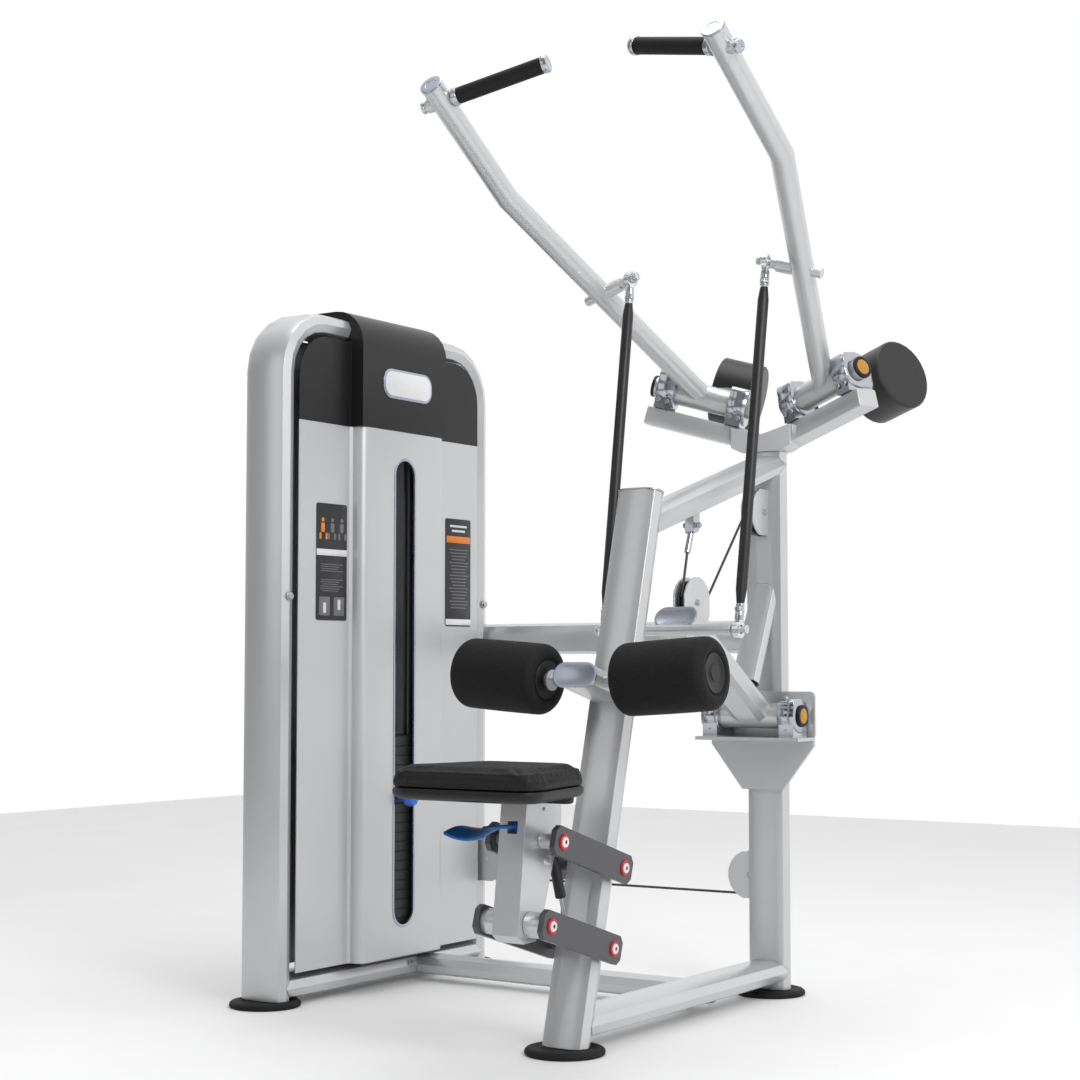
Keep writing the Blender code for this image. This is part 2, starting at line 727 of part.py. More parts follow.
def makeRoller():
    length = (rollerOuter - rollerInner).length
    bore = rollerAxleRadius + runningGap
    softEdge = arc((length - 0.022, rollerRadius - 0.022), 0.022, 90, 0, 3)
    rearEdge = arc((0.022, rollerRadius - 0.022), 0.022, 180, 90, 3)
    profile = [(length - 0.008, bore), (0, bore), (0, 0.040)] + rearEdge + softEdge
    profile += [(length, 0.046), (length - 0.004, 0.042), (length - 0.004, 0.002)]
    return turned([(length - 0.008, 0.002)] + profile, rollerInner, rollerAxis, 18)


rightAxle = rollerAxle()
fuse(thighBeam, mirrored(rightAxle), rightAxle)
finish(thighBeam, 'thigh_beam', paint)
roller = makeRoller()
leftRoller = finish(mirrored(roller), 'thigh_roller_left', foam)
finish(roller, 'thigh_roller_right', foam)
hang('roller_right_axle', rollerInner, [roller])
hang('roller_left_axle', flip(rollerInner), [leftRoller])

# Seat: two pairs of parallel links, a support, and a pad on its base
lowerLinkRear = lowerLinkFront + linkReach
upperLinkRear = upperLinkFront + linkReach
linkDirection = linkReach.normalized()


def linkOutline():
    half = linkHalfHeight
    chamfer = 0.012
    low, high = -linkOverhang, linkReach.length + linkOverhang
    return [(low + chamfer, -half), (high - chamfer, -half), (high, chamfer - half), (high, half - chamfer),
            (high - chamfer, half), (low + chamfer, half), (low, half - chamfer), (low, chamfer - half)]


def makeLinks(front, rearRadius):
    up = X.cross(linkDirection)
    rear = front + linkReach
    made = rod(front - X * (linkPlateInner + 0.005), front + X * (linkPlateInner + 0.005), linkPinRadius, 24)
    tube = rod(rear - X * (linkPlateInner + 0.005), rear + X * (linkPlateInner + 0.005), rearRadius, 24)
    for start in (linkPlateInner, -linkPlateOuter):
        plate = prism(linkOutline(), X * (linkPlateOuter - linkPlateInner),
                      lambda u, v: front + linkDirection * u + up * v + X * start)
        fuse(made, plate)
    return fuse(made, tube)


lowerLinks = finish(makeLinks(lowerLinkFront, linkTubeRadius), 'seat_links_lower', linkPaint)
upperLinks = finish(makeLinks(upperLinkFront, linkPinRadius), 'seat_links_upper', linkPaint)

# The seat's support, between the links' rear ends
supportProfile = [(lowerLinkRear.y - 0.040, lowerLinkRear.z - 0.020),
                  (lowerLinkRear.y - 0.020, lowerLinkRear.z - 0.036),
                  (lowerLinkRear.y + 0.022, lowerLinkRear.z - 0.034),
                  (lowerLinkRear.y + 0.037, lowerLinkRear.z - 0.012),
                  (gasTop.y + 0.004, supportTop - 0.050), (gasTop.y + 0.004, supportTop),
                  (lowerLinkRear.y - 0.008, supportTop)]
support = prism(supportProfile, X * (2 * supportHalfWide), lambda u, v: Vector((-supportHalfWide, u, v)))
boreReach = X * (supportHalfWide + 0.02)
cut(support, rod(lowerLinkRear - boreReach, lowerLinkRear + boreReach, linkTubeRadius + runningGap, 24))
cut(support, rod(upperLinkRear - boreReach, upperLinkRear + boreReach, linkPinRadius + runningGap, 24))
# a pocket for the gas spring's upper eye, and the pin it hangs on
eyePocketHalf = 0.016
gasPinRadius = 0.004
cut(support, block((-eyePocketHalf, gasTop.y - 0.020, gasTop.z - 0.050),
                   (eyePocketHalf, gasTop.y + 0.030, gasTop.z + 0.016)))
fuse(support, rod(gasTop - X * (eyePocketHalf + 0.005), gasTop + X * (eyePocketHalf + 0.005), gasPinRadius))
# the slot for the height lever
seatLeverPivot = Vector((0, lowerLinkRear.y - 0.002, 0.462))
slotWide = 0.012
cut(support, block((-slotWide, seatLeverPivot.y - 0.05, seatLeverPivot.z - 0.014),
                   (slotWide, seatLeverPivot.y + 0.018, seatLeverPivot.z + 0.010)))
fuse(support, rod(seatLeverPivot - X * (slotWide + 0.004), seatLeverPivot + X * (slotWide + 0.004), 0.003, 12))
finish(support, 'seat_support', paint)


def seatOutline(inset=0):
    back = seatBackY + inset
    front = seatFrontY - inset
    backHalf = seatBackHalf - inset
    frontHalf = seatFrontHalf - inset
    backRound, frontRound = 0.060 - inset, 0.040 - inset
    right = arc((backHalf - backRound, back + backRound), backRound, -90, 0, 5)
    right += arc((frontHalf - frontRound, front - frontRound), frontRound, 15, 90, 4)
    return right + [(-x, y) for x, y in reversed(right)]


baseZ = supportTop + gap
seatBase = prism(seatOutline(0.006), Z * seatBaseHeight, lambda u, v: Vector((u, v, baseZ)))
frontLobe = block((-seatFrontHalf + 0.030, seatFrontY - 0.040, baseZ - 0.012),
                  (seatFrontHalf - 0.030, seatFrontY - 0.007, baseZ + 0.010))
fuse(seatBase, frontLobe)
cut(seatBase, block((-supportHalfWide - gap, seatBackY, baseZ - 0.05),
                    (supportHalfWide + gap, gasTop.y + 0.004 + gap, baseZ)))
finish(seatBase, 'seat_base', blackPlastic)
padZ = baseZ + seatBaseHeight + gap
edge = 0.014
levels = [(0.004, 0), (0, 0.006), (0, padHeight - edge), (edge * 0.3, padHeight - edge * 0.3),
          (edge, padHeight)]
bm = bmesh.new()
layers = [[bm.verts.new((x, y, padZ + z)) for x, y in seatOutline(inset)] for inset, z in levels]
skin(bm, layers)
bm.faces.new(layers[0])
bm.faces.new(layers[-1])
seatPad = finish(solid(bm), 'seat_pad', upholstery)

paddleZ = seatLeverPivot.z - 0.006
leverTip = Vector((-0.030, seatLeverPivot.y - 0.130, paddleZ))
seatLever = rod(seatLeverPivot - X * 0.006, seatLeverPivot + X * 0.006, 0.008, 16)
fuse(seatLever, rod(seatLeverPivot, Vector((-0.006, leverTip.y + 0.030, paddleZ + 0.002)), 0.004, 12))
paddle = [(-0.045, -0.018), (0.045, -0.018), (0.045, 0.014), (0.030, 0.022), (-0.045, 0.022)]
fuse(seatLever, prism(paddle, Z * 0.009, lambda u, v: leverTip + Vector((u + 0.010, v + 0.010, -0.004))))
cut(seatLever, rod(seatLeverPivot - X * 0.02, seatLeverPivot + X * 0.02, 0.003 + runningGap, 12))
finish(seatLever, 'seat_lever', bluePlastic)

# Gas spring from the support down to the post's lug
gasAxis = (gasBottom - gasTop).normalized()
gasLength = (gasBottom - gasTop).length
gasHalf = 0.008
gasCylinder = rod(gasTop + gasAxis * 0.016, gasTop + gasAxis * (gasLength * 0.62), gasRadius, 16)
gasEye = rod(gasTop - X * gasHalf, gasTop + X * gasHalf, 0.009, 16)
fuse(gasCylinder, rod(gasTop, gasTop + gasAxis * 0.02, 0.006, 12), gasEye)
cut(gasCylinder, rod(gasTop - X * 0.02, gasTop + X * 0.02, gasPinRadius + runningGap, 12))
rodHole = rod(gasTop + gasAxis * (gasLength * 0.16), gasBottom, gasRodRadius + runningGap, 16)
cut(gasCylinder, rodHole)
finish(gasCylinder, 'gas_spring_cylinder', blackPaint)
openHole = lugRadius + openLugClearance
gasRod = rod(gasTop + gasAxis * (gasLength * 0.48), gasBottom - gasAxis * 0.006, gasRodRadius, 16)
fuse(gasRod, rod(gasBottom - X * gasHalf, gasBottom + X * gasHalf, openHole + 0.004, 20))
cut(gasRod, rod(gasBottom - X * 0.02, gasBottom + X * 0.02, openHole, 20))
finish(gasRod, 'gas_spring_rod', steel)

hang('lower_link_pivot', lowerLinkFront, [lowerLinks])
hang('upper_link_pivot', upperLinkFront, [upperLinks])
hang('seat_carriage_pivot', lowerLinkRear, [support, seatBase, seatPad])
hang('seat_lever_pivot', seatLeverPivot, [seatLever])
hang('gas_spring_pivot', gasTop, [gasCylinder, gasRod])

# Tower: an arched tube on a base tube, with front and rear panels and a cowl
towerInside = towerTubeThick / 2
archTopZ = towerHeight - towerTubeThick / 2


def towerArch(grow=0):
    bend = archBendRadius
    low = footHeight + gap
    near = [(y, z) for y, z in arc((towerNearY + bend, archTopZ - bend), bend, 180, 90, 5)]
    far = [(y, z) for y, z in arc((towerFarY - bend, archTopZ - bend), bend, 90, 0, 5)]
    route = [(towerNearY, low)] + near + far + [(towerFarY, low)]
    points = [(towerX, y, z) for y, z in route]
    section = oval(towerTubeWide + 2 * grow, towerTubeThick + 2 * grow)
    wall = 2 * tubeWall
    bore = None if grow else oval(towerTubeWide - wall, towerTubeThick - wall)
    return sweep(points, section, X, bore=bore)


legFront = towerX + towerTubeWide / 2
arch = towerArch()
cut(arch, block((legPulley.x - pulleyRim, towerFarY - slotHalf, lowPulleyZ - slotReach),
                (legFront + 0.02, towerFarY + slotHalf, lowPulleyZ + slotReach)))
fuse(arch, pulleyEars(legPulley, Y, X))
# the slot where the cable leaves the far leg for the top pulleys
cut(arch, block((cableX - slotHalf, towerFarY - towerInside - 0.02, topPulleyZ - slotReach),
                (cableX + slotHalf, towerFarY, topPulleyZ + slotReach)))
finish(arch, 'tower_arch', paint)

baseTubeZ = footHeight + gap + towerTubeThick / 2
baseTube = sweep([(towerX, towerNearY, baseTubeZ), (towerX, towerFarY, baseTubeZ)],
                 oval(towerTubeWide, towerTubeThick), X,
                 bore=oval(towerTubeWide - 2 * tubeWall, towerTubeThick - 2 * tubeWall))


def towerLegs(grow):
    section = oval(towerTubeWide + 2 * grow, towerTubeThick + 2 * grow)
    made = sweep([(towerX, towerNearY, 0), (towerX, towerNearY, 1)], section, X)
    return fuse(made, sweep([(towerX, towerFarY, 0), (towerX, towerFarY, 1)], section, X))


cut(baseTube, towerLegs(gap))
finish(baseTube, 'tower_base_tube', paint)
baseTubeTop = baseTubeZ + towerTubeThick / 2

# Tubes between the tower and the frame
midHeight = 0.840
midTube = sweep([(towerX, towerFarY + 0.020, midHeight), (-tubeWide / 2 + 0.012, towerFarY + 0.020, midHeight)],
                oval(0.078, 0.044), Z, bore=oval(0.072, 0.038))
cut(midTube, towerLegs(gap), rearUpright(gap))
finish(midTube, 'mid_tube', paint)
floorTubeY = 0.600
floorTubeZ = baseTubeZ
floorTube = sweep([(towerX, floorTubeY, floorTubeZ), (0, floorTubeY, floorTubeZ)],
                  oval(0.064, 0.050), Y, bore=oval(0.058, 0.044))
baseCutter = sweep([(towerX, towerNearY, baseTubeZ), (towerX, towerFarY, baseTubeZ)],
                   oval(towerTubeWide + 2 * gap, towerTubeThick + 2 * gap), X)
railCutter = frameTube([(0, postY(railHeight), railHeight), (0, uprightY, railHeight)], gap)
cut(floorTube, baseCutter, railCutter)
finish(floorTube, 'floor_tube', paint)

# Front panel: flat wings beside a raised middle, one folded sheet, open at the slot
panelHalf = (towerFarY - towerNearY) / 2 - towerInside - 0.004


def panelSection(face=0):
    # (y, x) points from one side to the other along the sheet's front face, moved back by face
    step = bulgeX - wingX
    wingEnd = bulgeHalfWide - face
    cornerRound = bulgeRound - face
    right = [(wingEnd + 0.006, wingX - face), (wingEnd, wingX - face + 0.006)]
    right += [(wingEnd - cornerRound + cornerRound * cos(a), bulgeX - face - cornerRound + cornerRound * sin(a))
              for a in (radians(d) for d in (0, 22.5, 45, 67.5, 90))]
    right = [(panelHalf, wingX - face)] + right
    return [(-y, x) for y, x in right] + [(y, x) for y, x in reversed(right)]


def foldedSheet(bottom, top):
    outline = panelSection() + list(reversed(panelSection(panelThickness)))
    return prism(outline, Z * (top - bottom), lambda u, v: Vector((v, stackY + u, bottom)))


def slotCutter():
    half = slotHalfWide
    outline = arc((0, slotTop - half), half, 0, 180, 10) + arc((0, slotBottom + half), half, 180, 360, 10)
    return prism(outline, X * 0.1, lambda u, v: Vector((bulgeX - 0.05, stackY + u, v)))


panel = foldedSheet(panelBottom, panelTop - gap)
cut(panel, slotCutter())
finish(panel, 'front_panel', paint)


def archInner(inset, radius, bottom):
    # the outline inside the arch, as (y, z) round the tower's middle
    half = panelHalf - inset
    top = archTopZ - towerInside - 0.004 - inset
    points = [(half, bottom)] + arc((half - radius, top - radius), radius, 0, 90, 6)
    return points + [(-y, z) for y, z in reversed(points)]


innerBend = archBendRadius - towerInside
rearPanelX = towerX - towerTubeWide / 2 + 0.010
rearPanel = prism(archInner(gap - 0.004, innerBend + 0.004, panelBottom), X * 0.002,
                  lambda u, v: Vector((rearPanelX, stackY + u, v)))
finish(rearPanel, 'rear_panel', paint)

# Cowl: wings that close the top of the arch and a hood that wraps over it
hoodHalf = bulgeHalfWide + 0.002
hoodFront = bulgeX + 0.001
hoodBack = towerX - towerTubeWide / 2 - 0.010
hoodRound = 0.085


hoodBackLow = panelTop + 0.100   # where the hood's back ends above the rear panel
hoodLegX = towerX + 0.030


def hood(inset=0):
    front, back, top = hoodFront - inset, hoodBack + inset, cowlTop - inset
    bend = hoodRound - inset
    backBend = 0.030 - inset / 2
    outline = arc((front - bend, top - bend), bend, 0, 90, 6)
    outline += arc((back + backBend, top - backBend), backBend, 90, 180, 4)
    if inset:
        outline += [(back, panelTop - 0.1), (front, panelTop - 0.1), (front, panelTop - 0.01)]
    else:
        outline += [(back, hoodBackLow), (hoodLegX, hoodBackLow), (hoodLegX, panelTop), (front, panelTop)]
    half = hoodHalf - inset
    return prism(outline, Y * (2 * half), lambda u, v: Vector((u, stackY - half, v)))


cowlWing = prism(archInner(0, innerBend, panelTop), -X * panelThickness,
                 lambda u, v: Vector((wingX, stackY + u, v)))
cowl = fuse(hood(), cowlWing)
# inside the arch the hood's end walls are open, for the cable and its pulleys
archUnderside = archTopZ - towerInside
cowlRoom = block((hoodBack + 0.006, stackY - hoodHalf - 0.01, panelTop - 0.2),
                 (wingX - panelThickness, stackY + hoodHalf + 0.01, archUnderside))
cut(cowl, hood(0.004), cowlRoom, towerArch(gap))
finish(cowl, 'top_cowl', blackPlastic)

# Weight stack: guide rods on a foot plate, the lower plates, the lifted plates and the pin
footPlateTop = stackBottom - gap
guidePlateZ = topPulleyZ - pulleyRim - 0.034
guideTop = guidePlateZ - gap
guides = block((cableX - 0.040, stackY - plateHalfWide, baseTubeTop + gap),
               (cableX + 0.040, stackY + plateHalfWide, baseTubeTop + gap + 0.010))
for sign in (-1, 1):
    y = stackY + sign * guideSpacing
    fuse(guides, rod((cableX, y, baseTubeTop + 0.005), (cableX, y, guideTop), guideRadius, 16))
    fuse(guides, rod((cableX, y, baseTubeTop + 0.005), (cableX, y, footPlateTop), 0.026, 16))
finish(guides, 'guide_rods', steel)

pinZ = stackBottom + (lowerPlateCount + 0.5) * plateThickness
stackSplit = stackBottom + lowerPlateCount * plateThickness
stackFront = cableX + plateDepth / 2


def plateBlock(bottom, count):
    # plates in a pile, with a groove where two meet
    groove = 0.0018
    front, back = cableX + plateDepth / 2, cableX - plateDepth / 2
    right = []
    for k in range(count):
        z = bottom + k * plateThickness
        right += [(front - groove, z), (front, z + groove), (front, z + plateThickness - groove)]
    right.append((front - groove, bottom + count * plateThickness))
    left = [(2 * cableX - x, z) for x, z in reversed(right)]
    made = prism(right + left, Y * (2 * plateHalfWide), lambda u, v: Vector((u, stackY - plateHalfWide, v)))
    height = count * plateThickness
    for y, radius in ((-guideSpacing, guideRadius + 0.0012), (guideSpacing, guideRadius + 0.0012),
                      (0, stemRadius + 0.0012)):
        low = Vector((cableX, stackY + y, bottom - 0.01))
        cut(made, rod(low, low + Z * (height + 0.02), radius, 16))
    return made


finish(plateBlock(stackBottom, lowerPlateCount), 'lower_plates', platePaint)
lifted = plateBlock(stackSplit + gap, liftedPlateCount)
pinStart = Vector((cableX - 0.020, stackY, pinZ))
pinBore = rod(pinStart - X * 0.002, Vector((stackFront + 0.01, stackY, pinZ)), pinRadius + runningGap, 16)
cut(lifted, pinBore)
finish(lifted, 'lifted_plates', platePaint)
topPlateZ = stackSplit + liftedPlateCount * plateThickness + 2 * gap
topPlate = block((cableX - plateDepth / 2, stackY - plateHalfWide, topPlateZ),
                 (cableX + plateDepth / 2, stackY + plateHalfWide, topPlateZ + plateThickness))
for sign in (-1, 1):
    low = Vector((cableX, stackY + sign * guideSpacing, topPlateZ - 0.01))
    cut(topPlate, rod(low, low + Z * 0.05, guideRadius + 0.0012, 16))
stemTop = topPlateZ + plateThickness + 0.060
stemLow = Vector((cableX, stackY, stackBottom + 0.004))
stem = rod(stemLow, (cableX, stackY, stemTop), stemRadius, 16)
fuse(stem, rod((cableX, stackY, stemTop - 0.020), (cableX, stackY, stemTop - 0.004), 0.017, 6))
cut(stem, rod(Vector((cableX - 0.03, stackY, pinZ)), Vector((cableX + 0.03, stackY, pinZ)),
              pinRadius + runningGap, 16))
fuse(topPlate, stem)
finish(topPlate, 'top_plate', steel)
pin = rod(pinStart, (bulgeX + 0.008, stackY, pinZ), pinRadius, 16)
knobX = bulgeX + 0.006
knob = [(0, 0.010), (0.004, 0.016), (0.014, 0.018), (0.026, 0.015), (0.032, 0.008), (0.033, 0.002)]
fuse(pin, turned(knob, Vector((knobX, stackY, pinZ)), X, 20))
finish(pin, 'selector_pin', bluePlastic)
hang('stack_slide', (cableX, stackY, stackSplit), [topPlate, lifted])
hang('pin_slide', (cableX, stackY, pinZ), [pin])

# The top pulleys hang in a channel under the arch
channelHalf = earOffset + earThickness / 2
channelNear = stackY + 0.002
channelFar = towerFarY - towerInside - 0.004
channel = block((cableX - channelHalf, channelNear, guidePlateZ + 0.004),
                (cableX + channelHalf, channelFar, archUnderside - gap))
hollow = earOffset - earThickness / 2
cut(channel, block((cableX - hollow, channelNear - 0.01, guidePlateZ - 0.01),
                   (cableX + hollow, channelFar + 0.01, archUnderside - 0.012)))
for centre in (topRearPulley, topStackPulley):
    fuse(channel, rod(centre - X * (channelHalf + 0.004), centre + X * (channelHalf + 0.004), axleRadius, 16))
# a plate across the channel's foot holds the tops of the guide rods
fuse(channel, block((cableX - 0.020, stackY - guideSpacing - 0.025, guidePlateZ),
                    (cableX + 0.020, stackY + guideSpacing + 0.025, guidePlateZ + 0.008)))
cut(channel, rod((cableX, stackY, guidePlateZ - 0.01), (cableX, stackY, guidePlateZ + 0.02),
                 2 * cableRadius + 0.002))
cut(channel, towerArch(gap))
finish(channel, 'top_pulley_channel', steel)

for name, centre, axis in (('upper_pulley', upperPulley, X), ('low_pulley', lowPulley, Y),
                           ('leg_pulley', legPulley, Y), ('top_rear_pulley', topRearPulley, X),
                           ('top_stack_pulley', topStackPulley, X)):
    hang(name + '_axle', centre, [finish(pulleyDisc(centre, axis), name, pulleyPlastic)])


# Cable: fixed at the clevis, round the lever's pulley, over the upright's and through the tower

def onCircle(centre, side, up, degrees):
    a = radians(degrees)
    return centre + (side * cos(a) + up * sin(a)) * pulleyRadius


def wrap(centre, side, up, start, end, steps=6):
    return [onCircle(centre, side, up, start + (end - start) * k / steps) for k in range(steps + 1)]


def cord(points, name):
    curve = bpy.data.curves.new(name, 'CURVE')
    curve.dimensions = '3D'
    curve.bevel_depth = cableRadius
    curve.bevel_resolution = 2
    curve.use_fill_caps = True
    spline = curve.splines.new('POLY')
    spline.points.add(len(points) - 1)
    for target, point in zip(spline.points, points):
        target.co = (*point, 1)
    made = bpy.data.objects.new(name, curve)
    bpy.context.scene.collection.objects.link(made)
    curve.materials.append(cablePlastic)
    return made


toLever = leverPulley - forkEnd
forkAngle = atan2(toLever.z, toLever.y) - asin(pulleyRadius / toLever.length)
frontWay = Vector((0, cos(forkAngle), sin(forkAngle)))
frontLength = (toLever.length ** 2 - pulleyRadius ** 2) ** 0.5
frontEnd = forkEnd + frontWay * frontLength
toUpper = upperPulley - leverPulley
crossAngle = atan2(toUpper.z, toUpper.y) + asin(2 * pulleyRadius / toUpper.length)
crossWay = Vector((0, cos(crossAngle), sin(crossAngle)))
crossSide = Vector((0, sin(crossAngle), -cos(crossAngle))) * pulleyRadius
backStart = leverPulley + crossSide
backEnd = upperPulley - crossSide
cord([forkEnd + frontWay * gap, frontEnd], 'cable_front')
cord([backStart, backEnd - crossWay * cordGap], 'cable_back')
overUpper = wrap(upperPulley, Y, Z, 90 + crossAngle * 180 / pi, 0)
underLow = wrap(lowPulley, X, Z, 0, -90)
underLeg = wrap(legPulley, X, Z, 270, 180)
overRear = wrap(topRearPulley, Y, Z, 0, 90)
overStack = wrap(topStackPulley, Y, Z, 90, 180)
cord(overUpper + underLow + underLeg + overRear + overStack, 'cable_main')
cord([overStack[-1] - Z * cordGap, Vector((cableX, stackY, stemTop + gap))], 'cable_stack')
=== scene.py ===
import json
from math import cos, pi, radians, sin

import bmesh
import bpy
import numpy as np
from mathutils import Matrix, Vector


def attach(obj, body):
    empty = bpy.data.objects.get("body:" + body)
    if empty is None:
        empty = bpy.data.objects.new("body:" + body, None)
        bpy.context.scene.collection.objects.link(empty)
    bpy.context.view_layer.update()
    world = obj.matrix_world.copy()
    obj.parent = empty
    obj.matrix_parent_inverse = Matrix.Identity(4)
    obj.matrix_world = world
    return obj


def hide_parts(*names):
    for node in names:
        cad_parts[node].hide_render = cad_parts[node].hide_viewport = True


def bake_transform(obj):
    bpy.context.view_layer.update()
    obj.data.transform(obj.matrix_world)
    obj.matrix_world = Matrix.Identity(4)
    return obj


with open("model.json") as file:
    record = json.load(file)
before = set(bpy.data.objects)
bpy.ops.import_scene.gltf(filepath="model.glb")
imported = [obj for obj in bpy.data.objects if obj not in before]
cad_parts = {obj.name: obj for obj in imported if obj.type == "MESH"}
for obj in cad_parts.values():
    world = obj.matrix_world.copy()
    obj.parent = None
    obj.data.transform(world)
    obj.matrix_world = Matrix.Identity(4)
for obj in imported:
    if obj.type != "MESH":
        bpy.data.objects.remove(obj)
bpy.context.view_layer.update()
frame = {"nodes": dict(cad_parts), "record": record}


# Shader maths: a Wire is one socket, a Finish is one material

socketNames = {"baseColor": "Base Color", "roughness": "Roughness", "metallic": "Metallic",
               "normal": "Normal",
               "coatWeight": "Coat Weight", "coatRoughness": "Coat Roughness",
               "specular": "Specular IOR Level"}


class Wire:
    def __init__(self, finish, socket):
        self.finish = finish
        self.socket = socket

    def math(self, operation, other):
        return self.finish.add("ShaderNodeMath", {"operation": operation}, {0: self, 1: other})

    def __add__(self, other):
        return self.math("ADD", other)

    def __sub__(self, other):
        return self.math("SUBTRACT", other)

    def __mul__(self, other):
        return self.math("MULTIPLY", other)

    def __gt__(self, other):
        return self.math("GREATER_THAN", other)

    def __lt__(self, other):
        return self.math("LESS_THAN", other)

    def __rsub__(self, other):
        return self.finish.add("ShaderNodeMath", {"operation": "SUBTRACT"}, {0: other, 1: self})

    __radd__ = __add__
    __rmul__ = __mul__

    def dot(self, direction):
        return self.finish.add("ShaderNodeVectorMath", {"operation": "DOT_PRODUCT"},
                               {0: self, 1: direction}, "Value")

    def scaled(self, factors):
        return self.finish.add("ShaderNodeVectorMath", {"operation": "MULTIPLY"}, {0: self, 1: factors})


class Finish:
    def __init__(self, name, owner=None, **settings):
        self.material = owner or bpy.data.materials.new(name)
        self.material.use_nodes = True
        self.tree = self.material.node_tree
        self.shader = self.tree.nodes.get("Principled BSDF")
        self.place = self.add("ShaderNodeTexCoord", {}, {}, "Object")
        self.put(**settings)

    def add(self, kind, settings, sockets, out=0):
        node = self.tree.nodes.new(kind)
        for name, value in settings.items():
            if name == "stops":
                for stop, (at, colour) in zip(node.color_ramp.elements, value):
                    stop.position = at
                    stop.color = (*colour, 1)
            else:
                setattr(node, name, value)
        for name, value in sockets.items():
            self.feed(node.inputs[name], value)
        return Wire(self, node.outputs[out])

    def feed(self, socket, value):
        if isinstance(value, Wire):
            self.tree.links.new(value.socket, socket)
        elif isinstance(value, tuple) and len(value) == 3 and socket.type == "RGBA":
            socket.default_value = (*value, 1)
        else:
            socket.default_value = value

    def put(self, **settings):
        for name, value in settings.items():
            self.feed(self.shader.inputs[socketNames[name]], value)
        return self

    def noise(self, scale, detail=2.0, rough=0.5, place=None):
        return self.add("ShaderNodeTexNoise", {}, {"Vector": place or self.place, "Scale": scale,
                                                   "Detail": detail, "Roughness": rough})

    def cells(self, scale, feature="F1", place=None):
        return self.add("ShaderNodeTexVoronoi", {"feature": feature},
                        {"Vector": place or self.place, "Scale": scale})

    def ramp(self, factor, colour, dark, light, start=0.3, end=0.7):
        stops = [(start, shade(colour, dark)), (end, shade(colour, light))]
        return self.add("ShaderNodeValToRGB", {"stops": stops}, {0: factor})

    def mix(self, factor, first, second):
        return self.add("ShaderNodeMix", {"data_type": "RGBA"}, {0: factor, 6: first, 7: second}, 2)

    def smooth(self, value, low, high):
        return self.add("ShaderNodeMapRange", {"interpolation_type": "SMOOTHSTEP"},
                        {0: value, 1: low, 2: high})

    def bump(self, height, depth, strength=1.0, rounding=0.0):
        sockets = {"Height": height, "Distance": depth, "Strength": strength}
        if rounding:
            sockets["Normal"] = self.add("ShaderNodeBevel", {"samples": 4}, {"Radius": rounding})
        self.put(normal=self.add("ShaderNodeBump", {}, sockets))
        return self


def shade(colour, by):
    return tuple(min(1, c * by) for c in colour)


def metallicPaint(name, colour, metallic=0.62, rough=0.33, flake=0.05, coat=0.25):
    f = Finish(name, metallic=metallic, coatRoughness=0.22)
    cloud = f.noise(2.2, 3)
    grain = f.noise(1100, 1)
    tone = cloud * 0.7 + grain * 0.3
    dust = f.smooth(f.noise(14, 5, 0.65), 0.55, 0.8)
    body = f.ramp(tone, colour, 1 - flake, 1 + flake)
    f.put(baseColor=f.mix(dust * 0.12, body, shade(colour, 0.86)))
    f.put(roughness=rough - 0.05 + cloud * 0.06 + dust * 0.06)
    f.put(coatWeight=coat - dust * 0.1)
    f.bump(f.noise(420, 2) * 0.6 + grain * 0.4, 0.00012, 0.5, 0.0022)
    return f


def mouldedPlastic(name, colour, rough=0.42, grain=700, depth=0.00012):
    f = Finish(name, specular=0.35)
    pebble = f.cells(grain)
    cloud = f.noise(6, 4)
    scuff = f.smooth(f.noise(38, 6, 0.7), 0.58, 0.75)
    f.put(baseColor=f.mix(scuff * 0.25, f.ramp(cloud, colour, 0.88, 1.1), shade(colour, 1.35)))
    f.put(roughness=rough - 0.04 + cloud * 0.05 + scuff * 0.06)
    f.bump(pebble + f.noise(grain * 0.4) * 0.5, depth, 0.6, 0.0015)
    return f


def polishedMetal(name, colour, rough=0.14, tint=0.05):
    f = Finish(name, metallic=1.0)
    cloud = f.noise(9, 4)
    lines = f.noise(1.0, 3, 0.6, f.place.scaled((90, 90, 900)))
    f.put(baseColor=f.ramp(cloud, colour, 1 - tint, 1))
    f.put(roughness=rough - 0.03 + cloud * 0.05 + lines * 0.05)
    f.bump(lines, 0.00006, 0.35, 0.0012)
    return f


def matteRubber(name, colour, rough=0.72, grain=480, depth=0.0002):
    f = Finish(name, specular=0.3)
    speck = f.noise(grain, 4, 0.7)
    cloud = f.noise(11, 4)
    f.put(baseColor=f.ramp(speck * 0.5 + cloud * 0.5, colour, 0.7, 1.4, 0.35, 0.65))
    f.put(roughness=rough - 0.06 + cloud * 0.12)
    f.bump(speck, depth, 0.8, 0.001)
    return f


def foamSkin(name, colour):
    f = Finish(name, specular=0.25)
    pebble = f.cells(330)
    fine = f.noise(900, 3)
    cloud = f.noise(9, 4)
    # Pebbled tone darker in the pits that the bump sinks: painted shade over the foam's grain
    f.put(baseColor=f.ramp(pebble * 0.6 + fine * 0.4, colour, 0.6, 1.5, 0.15, 0.6))
    f.put(roughness=0.74 + cloud * 0.1 - pebble * 0.1)
    f.bump(pebble + fine * 0.5, 0.0006, 0.9)
    return f


